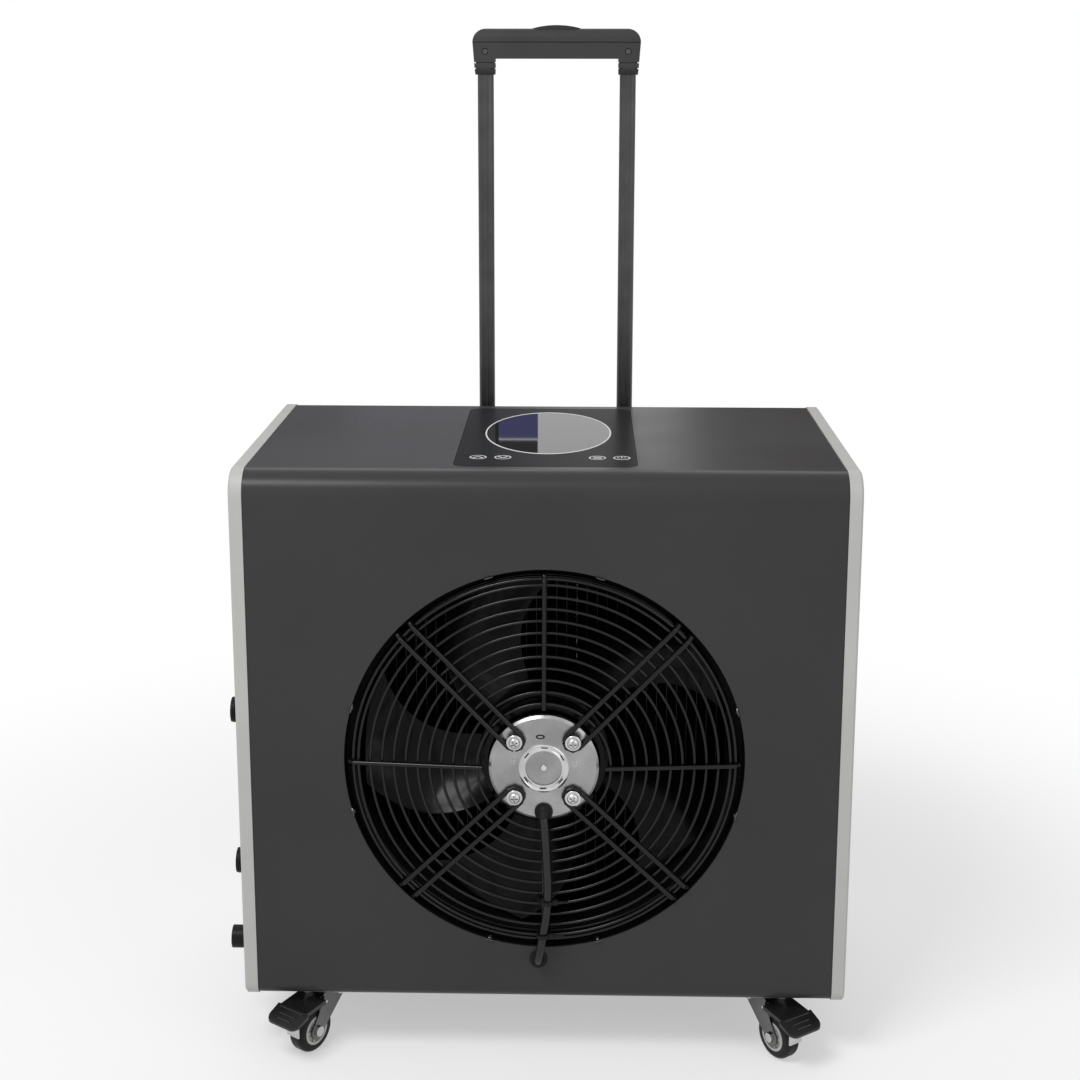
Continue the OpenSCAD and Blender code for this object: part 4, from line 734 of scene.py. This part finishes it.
def screw_head(shape, centre, axis, radius, rise, turn):
    """A domed head standing on centre along the axis."""
    w = Vector(axis).normalized()
    u = Matrix.Rotation(turn, 3, w) @ w.orthogonal().normalized()
    v = w.cross(u)
    points = [Vector(centre) + w * rise * (1 - CROSS_DEEP_SHARE)]
    for i in range(1, HEAD_RINGS + 1):
        s = i / HEAD_RINGS
        dome = HEAD_RIM_SHARE + (1 - HEAD_RIM_SHARE) * (1 - s ** 4)
        for k in range(HEAD_STEPS):
            a = 2 * math.pi * k / HEAD_STEPS
            x, y = s * math.cos(a), s * math.sin(a)
            height = rise * (dome - CROSS_DEEP_SHARE * cross_depth(x, y))
            points.append(Vector(centre) + radius * (x * u + y * v) + w * height)
    for k in range(HEAD_STEPS):
        a = 2 * math.pi * k / HEAD_STEPS
        points.append(Vector(centre) + radius * (math.cos(a) * u + math.sin(a) * v))
    faces = [[0, 1 + k, 1 + (k + 1) % HEAD_STEPS] for k in range(HEAD_STEPS)]
    for i in range(HEAD_RINGS):
        for k in range(HEAD_STEPS):
            a, b = 1 + i * HEAD_STEPS + k, 1 + i * HEAD_STEPS + (k + 1) % HEAD_STEPS
            faces.append([a, a + HEAD_STEPS, b + HEAD_STEPS, b])
    last = 1 + HEAD_RINGS * HEAD_STEPS
    faces.append([last + k for k in range(HEAD_STEPS)])
    shape.add(points, faces)


def washer(shape, place, axis, radius, thick):
    """A flat washer on place. A negative thickness lays it on the other side."""
    profile = [(CORE_R, 0.0), (radius, 0.0), (radius, thick), (CORE_R, thick)]
    shape.lathe(profile, place, axis, steps=32)


def make_fan_screws():
    solid = box_mm("fan_screws")
    pitch = (solid[1].x - solid[0].x) / 2 - WASHER_R
    washer_y = solid[0].y + WASHER_Y
    shape = Shape()
    for sx in (-1, 1):
        for sz in (-1, 1):
            x, z = FAN_X + sx * pitch, FAN_Z + sz * pitch
            shape.lathe(WASHER_PROFILE, (x, washer_y, z), BACK, steps=48)
            screw_head(shape, (x, washer_y, z), -BACK, *FAN_HEAD, turn=0.5 * sx + 0.3 * sz)
            shape.tube([(x, washer_y + SHANK_START, z), (x, CAP_FACE + SHANK_END, z)], SHANK_R, sides=24)
    made = piece("motor_screws", shape, "zinc", "cabinet", angle=28)
    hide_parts("fan_screws")


make_fan_screws()

# Motor cable: the same route as the solid one, drawn as one smooth tube with its rubber boot
CABLE_ROUTE = [
    (0, -3, 200), (0, -11, 200), (0, -17, 197), (1, -20, 187), (2, -19, 172), (3, -17, 150), (4, -15, 125),
    (3, -13, 100), (0, -12, 78), (-3, -12, 60), (-5, -9, 48), (-5, -3, 44), (-5, 4, 44), (0, 14, 40),
    (20, 22, 32), (60, 24, 30), (150, 26, 30), (225, 26, 34), (246, 30, 60), (248, 34, 110),
    (248, 36, 200), (248, 38, 300), (248, 42, 400), (242, 48, 460), (220, 54, 492), (180, 58, 502),
    (130, 60, 502), (92.3, 60, 502),
]
CABLE_R = 3.95
CABLE_STEPS = 8
BOOT_SHARE = 0.45
BOOT_SWELL = 3.6
BOOT_WALL = 0.25
BOOT_RIB = 0.45
BOOT_RIB_EVERY = 3
BOOT_RIB_START = 0.2


def smooth_route(points, steps):
    """The route's points joined by a smooth curve through them all."""
    pts = [Vector(p) for p in points]
    made = []
    for i in range(len(pts) - 1):
        a, b, c, d = pts[max(i - 1, 0)], pts[i], pts[i + 1], pts[min(i + 2, len(pts) - 1)]
        for k in range(steps):
            t = k / steps
            made.append((2 * b + (c - a) * t + (2 * a - 5 * b + 4 * c - d) * t ** 2
                         + (3 * b - a - 3 * c + d) * t ** 3) / 2)
    return made + [pts[-1]]


def make_cable():
    shape = Shape()
    shape.tube(smooth_route(CABLE_ROUTE, CABLE_STEPS), CABLE_R, sides=20)
    made = piece("motor_cable", shape, "sheath", "cabinet", angle=40)
    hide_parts("fan_cable")
    boot = Shape()
    route = smooth_route(CABLE_ROUTE[1:5], CABLE_STEPS)
    stretch = route[:int(len(route) * BOOT_SHARE)]
    radii = []
    for i in range(len(stretch)):
        s = i / (len(stretch) - 1)
        rib = BOOT_RIB if i % BOOT_RIB_EVERY == 0 and s > BOOT_RIB_START else 0.0
        radii.append(CABLE_R + BOOT_SWELL * (1 - s) ** 1.5 + BOOT_WALL + rib)
    boot.tube(stretch, radii, sides=32)
    piece("cable_boot", boot, "rubber", "cabinet", angle=30)


make_cable()

# Castors: the frame of each, with u away from the swivel, v across and z up from the pan
CASTOR_X = 214.0
CASTOR_Y = 34.0
CASTOR_ANGLE = 35.0
CASTORS = {"front_left": (-1, -1), "front_right": (1, -1), "rear_left": (-1, 1), "rear_right": (1, 1)}
TRAIL = 24.0
AXLE_Z = -40.5
WHEEL_R = 22.5
WHEEL_HUB_R = 14.5
RIM_R_IN = 12.0
RIM_PROFILE = ((RIM_R_IN - 0.3, 8.3), (RIM_R_IN, 8.75), (WHEEL_HUB_R - 0.9, 8.75), (WHEEL_HUB_R - 0.6, 8.3))
SPOKES = 5
SPOKE_FACE = 6.5
SPOKE_DEEP = 1.7
SPOKE_OUTLINE = ((5.6, -1.5), (RIM_R_IN + 0.2, -1.1), (RIM_R_IN + 0.2, 1.1), (5.6, 1.5))
SEAM_R = WHEEL_R - 0.02
SEAM_ROOT_R = WHEEL_R - 0.5
SEAM_PROFILE = ((SEAM_ROOT_R, -0.35), (SEAM_R, -0.15), (SEAM_R, 0.15), (SEAM_ROOT_R, 0.35))
PLATE_PITCH = 32.0
PLATE_T = 2.0
BOLT_WASHER = (5.2, -0.6)
BOLT_HEAD = (4.0, 2.2)


class CastorFrame:
    """Where a castor stands and which way it looks."""

    def __init__(self, key):
        sx, sy = CASTORS[key]
        turn = math.radians(sy * (90 - sx * CASTOR_ANGLE))
        self.base = Vector((sx * CASTOR_X, CASTOR_Y if sy < 0 else BODY_D - CASTOR_Y, COVER_STEP))
        self.u = Vector((math.cos(turn), math.sin(turn), 0))
        self.v = Vector((-math.sin(turn), math.cos(turn), 0))

    def at(self, u, v, z):
        return self.base + self.u * u + self.v * v + UP * z


def make_wheel(key):
    """Spokes and a rim bead in each hub, and the fine mould seam round the tyre."""
    castor = CastorFrame(key)
    centre = castor.at(TRAIL, 0, AXLE_Z)
    hub = Shape()
    for side in (-1, 1):
        out = castor.v * side
        for k in range(SPOKES):
            a = 2 * math.pi * k / SPOKES
            along = castor.u * math.cos(a) + UP * math.sin(a)
            across = castor.u * -math.sin(a) + UP * math.cos(a)
            hub.prism(SPOKE_OUTLINE, centre + out * SPOKE_FACE, along, across, out * SPOKE_DEEP)
        hub.lathe([(r, side * height) for r, height in RIM_PROFILE], centre, castor.v, steps=64)
    piece("hub_spokes_" + key, hub, "hub", "wheel_" + key, angle=30)
    tyre = Shape()
    tyre.lathe(SEAM_PROFILE, centre, castor.v, steps=96)
    piece("tyre_seam_" + key, tyre, "tyre", "wheel_" + key, angle=30)


def make_plate_bolts(key):
    castor = CastorFrame(key)
    shape = Shape()
    for sx in (-1, 1):
        for sy in (-1, 1):
            place = castor.base + Vector((sx * PLATE_PITCH / 2, sy * PLATE_PITCH / 2, -PLATE_T))
            washer(shape, place, UP, *BOLT_WASHER)
            screw_head(shape, place + UP * BOLT_WASHER[1], -UP, *BOLT_HEAD, turn=0.4 * sx + 0.9 * sy)
    piece("plate_bolts_" + key, shape, "zinc", "cabinet", angle=28)


for castor_key in CASTORS:
    make_wheel(castor_key)
    make_plate_bolts(castor_key)

# Small screws of the rear panel, the brackets and the fan's mouth
REAR_FACE = BODY_D - COVER_STEP
REAR_SCREWS = [(x, z) for x in (-263, 263) for z in (30, 150, 270, 390, 496)]
REAR_SCREWS += [(x, z) for x in (-132, 132) for z in (24, 498)]
REAR_WASHER = (5.0, 0.5)
REAR_HEAD = (3.8, 2.3)
BRACKET_FACE = 359.0
BRACKET_HEAD = (3.4, 1.9)
BRACKET_SCREWS = [(x, z) for x in (-85.5, 95.5) for z in (47, 63, 474, 500)]
MOUTH_R = 186.7
MOUTH_Y = 7.0
CLIPS = (74, 106, 164, 196, 254, 286, 344, 16)
CLIP_OUTLINE = ((-4.5, 0), (4.5, 0), (4.5, 7), (3, 8.5), (-3, 8.5), (-4.5, 7))
CLIP_T = 0.8
CLIP_SCREW_Y = -4.2
CLIP_HEAD = (2.4, 1.3)


def make_small_screws():
    rear = Shape()
    for i, (x, z) in enumerate(REAR_SCREWS):
        washer(rear, (x, REAR_FACE, z), BACK, *REAR_WASHER)
        screw_head(rear, (x, REAR_FACE + REAR_WASHER[1], z), BACK, *REAR_HEAD, turn=0.7 * i)
    piece("rear_screws", rear, "zinc", "cabinet", angle=28)
    held = Shape()
    for i, (x, z) in enumerate(BRACKET_SCREWS):
        screw_head(held, (x, BRACKET_FACE, z), BACK, *BRACKET_HEAD, turn=0.9 * i)
    piece("bracket_screws", held, "zinc", "cabinet", angle=28)
    clips = Shape()
    for degree in CLIPS:
        out, side = spoke(math.radians(degree))
        place = Vector((FAN_X, MOUTH_Y, FAN_Z)) + out * MOUTH_R
        clips.prism(CLIP_OUTLINE, place, side, -BACK, out * -CLIP_T)
        screw_head(clips, place + BACK * CLIP_SCREW_Y - out * CLIP_T, -out, *CLIP_HEAD, turn=0.6 * degree)
    piece("mouth_clips", clips, "dark_zinc", "cabinet", angle=28)


make_small_screws()

# Water connections: the turns of the pipe thread on each spigot
SPIGOT_Y = 145.0
SPIGOT_ZS = (72.0, 237.0)
SPIGOT_R = 12.7
SPIGOT_REACH = 32.0
THREAD_TURNS = 11
THREAD_PITCH = 2.2
THREAD_STEPS = 36
THREAD_DEEP = 0.75
THREAD_ROOT = 0.2
THREAD_ROOT_HALF = 0.8
THREAD_TOP_HALF = 0.2


def make_threads():
    shape = Shape()
    start = -BODY_W / 2 - SPIGOT_REACH
    for z in SPIGOT_ZS:
        rings = []
        for i in range(THREAD_TURNS * THREAD_STEPS + 1):
            turns = i / THREAD_STEPS
            a = 2 * math.pi * turns
            out = Vector((0, math.cos(a), math.sin(a)))
            mid = Vector((start + THREAD_PITCH * turns, SPIGOT_Y, z))
            root = mid + out * (SPIGOT_R - THREAD_ROOT)
            top = mid + out * (SPIGOT_R + THREAD_DEEP * min(1.0, turns, THREAD_TURNS - turns))
            rings.append([root - ACROSS * THREAD_ROOT_HALF, top - ACROSS * THREAD_TOP_HALF,
                          top + ACROSS * THREAD_TOP_HALF, root + ACROSS * THREAD_ROOT_HALF])
        shape.rings(rings)
    piece("spigot_threads", shape, "plastic", "cabinet", angle=40)


make_threads()

# Studio: a pale floor that fades to white, a white backdrop and soft lamps
FLOOR_SIZE = 12.0
FLOOR_COLOR = (0.9, 0.9, 0.9, 1.0)
FLOOR_ROUGH = 0.9
FADE_NEAR = 0.45
FADE_FAR = 1.2
FADE_LEAST = 0.45
WHITE = (1.0, 1.0, 1.0, 1.0)
WORLD_LEVEL = 0.5
LAMPS = {
    "key": ((-0.9, -1.35, 2.45), (0, 0, 0.5), (1.1, 0.8), 38),
    "fill": ((1.9, -1.8, 1.5), (0, 0, 0.35), (1.6, 1.6), 8),
    "back": ((0.2, 1.9, 2.2), (0, 0, 0.5), (2.4, 1.0), 10),
}


def make_floor():
    mesh = bpy.data.meshes.new("floor")
    h = FLOOR_SIZE
    mesh.from_pydata([(-h, -h, 0), (h, -h, 0), (h, h, 0), (-h, h, 0)], [], [(0, 1, 2, 3)])
    mat = bpy.data.materials.new("floor")
    mat.use_nodes = True
    tree = mat.node_tree
    shader = tree.nodes["Principled BSDF"]
    shader.inputs["Base Color"].default_value = FLOOR_COLOR
    shader.inputs["Roughness"].default_value = FLOOR_ROUGH
    shader.inputs["Specular IOR Level"].default_value = 0.0
    glow = tree.nodes.new("ShaderNodeEmission")
    coords = tree.nodes.new("ShaderNodeTexCoord")
    length = tree.nodes.new("ShaderNodeVectorMath")
    length.operation = "LENGTH"
    fade = tree.nodes.new("ShaderNodeMapRange")
    fade.inputs["From Min"].default_value = FADE_NEAR
    fade.inputs["From Max"].default_value = FADE_FAR
    fade.inputs["To Min"].default_value = FADE_LEAST
    fade.interpolation_type = "SMOOTHSTEP"
    mix = tree.nodes.new("ShaderNodeMixShader")
    out = tree.nodes["Material Output"]
    tree.links.new(coords.outputs["Object"], length.inputs[0])
    tree.links.new(length.outputs["Value"], fade.inputs["Value"])
    tree.links.new(fade.outputs["Result"], mix.inputs[0])
    tree.links.new(shader.outputs[0], mix.inputs[1])
    tree.links.new(glow.outputs[0], mix.inputs[2])
    tree.links.new(mix.outputs[0], out.inputs[0])
    mesh.materials.append(mat)
    floor = bpy.data.objects.new("floor", mesh)
    bpy.context.scene.collection.objects.link(floor)


def make_world():
    """White where the camera or a reflection sees it, and a plain grey light everywhere else."""
    world = bpy.data.worlds.new("studio")
    bpy.context.scene.world = world
    world.use_nodes = True
    tree = world.node_tree
    light = tree.nodes["Background"]
    light.inputs["Color"].default_value = WHITE
    light.inputs["Strength"].default_value = WORLD_LEVEL
    seen = tree.nodes.new("ShaderNodeBackground")
    seen.inputs["Color"].default_value = WHITE
    path = tree.nodes.new("ShaderNodeLightPath")
    total = path.outputs["Is Camera Ray"]
    for ray in ("Is Glossy Ray", "Is Transmission Ray"):
        both = tree.nodes.new("ShaderNodeMath")
        both.operation = "MAXIMUM"
        tree.links.new(total, both.inputs[0])
        tree.links.new(path.outputs[ray], both.inputs[1])
        total = both.outputs[0]
    mix = tree.nodes.new("ShaderNodeMixShader")
    tree.links.new(total, mix.inputs[0])
    tree.links.new(light.outputs[0], mix.inputs[1])
    tree.links.new(seen.outputs[0], mix.inputs[2])
    tree.links.new(mix.outputs[0], tree.nodes["World Output"].inputs["Surface"])


# Boards behind the part that only reflections see: a dark blue one with a black post, and dim side ones
CARD_Y = 3000.0
CARD_STEP = 20.0
CARDS = {
    "card_blue": (-560.0, -80.0, 900.0, 1136.0, (0.1, 0.1, 0.27)),
    "card_dark": (-560.0, -80.0, 1136.0, 1800.0, (0.03, 0.03, 0.034)),
    "card_post": (-200.0, -183.0, 900.0, 1800.0, (0.01, 0.01, 0.01)),
    "card_left": (-2400.0, -560.0, 560.0, 2400.0, (0.2, 0.2, 0.23)),
    "card_right": (300.0, 2400.0, 560.0, 2400.0, (0.1, 0.085, 0.085)),
}


def make_cards():
    for i, (name, (x0, x1, z0, z1, color)) in enumerate(CARDS.items()):
        mesh = bpy.data.meshes.new(name)
        y = CARD_Y - CARD_STEP * i
        mesh.from_pydata([at(x0, y, z0), at(x1, y, z0), at(x1, y, z1), at(x0, y, z1)], [], [(0, 1, 2, 3)])
        mat = bpy.data.materials.new(name)
        mat.use_nodes = True
        glow = mat.node_tree.nodes.new("ShaderNodeEmission")
        glow.inputs["Color"].default_value = (*color, 1.0)
        mat.node_tree.links.new(glow.outputs[0], mat.node_tree.nodes["Material Output"].inputs[0])
        mesh.materials.append(mat)
        card = bpy.data.objects.new(name, mesh)
        bpy.context.scene.collection.objects.link(card)
        card.visible_camera = False
        card.visible_diffuse = False
        card.visible_transmission = False
        card.visible_volume_scatter = False
        card.visible_shadow = False


def lamp(name, place, aim, size, power):
    data = bpy.data.lights.new(name, "AREA")
    data.shape = "RECTANGLE"
    data.size, data.size_y = size
    data.energy = power
    made = bpy.data.objects.new(name, data)
    bpy.context.scene.collection.objects.link(made)
    made.location = place
    made.rotation_euler = (Vector(aim) - Vector(place)).to_track_quat("-Z", "Y").to_euler()


make_floor()
make_world()
make_cards()
for lamp_name, values in LAMPS.items():
    lamp(lamp_name, *values)

bpy.context.scene.view_settings.view_transform = "Standard"
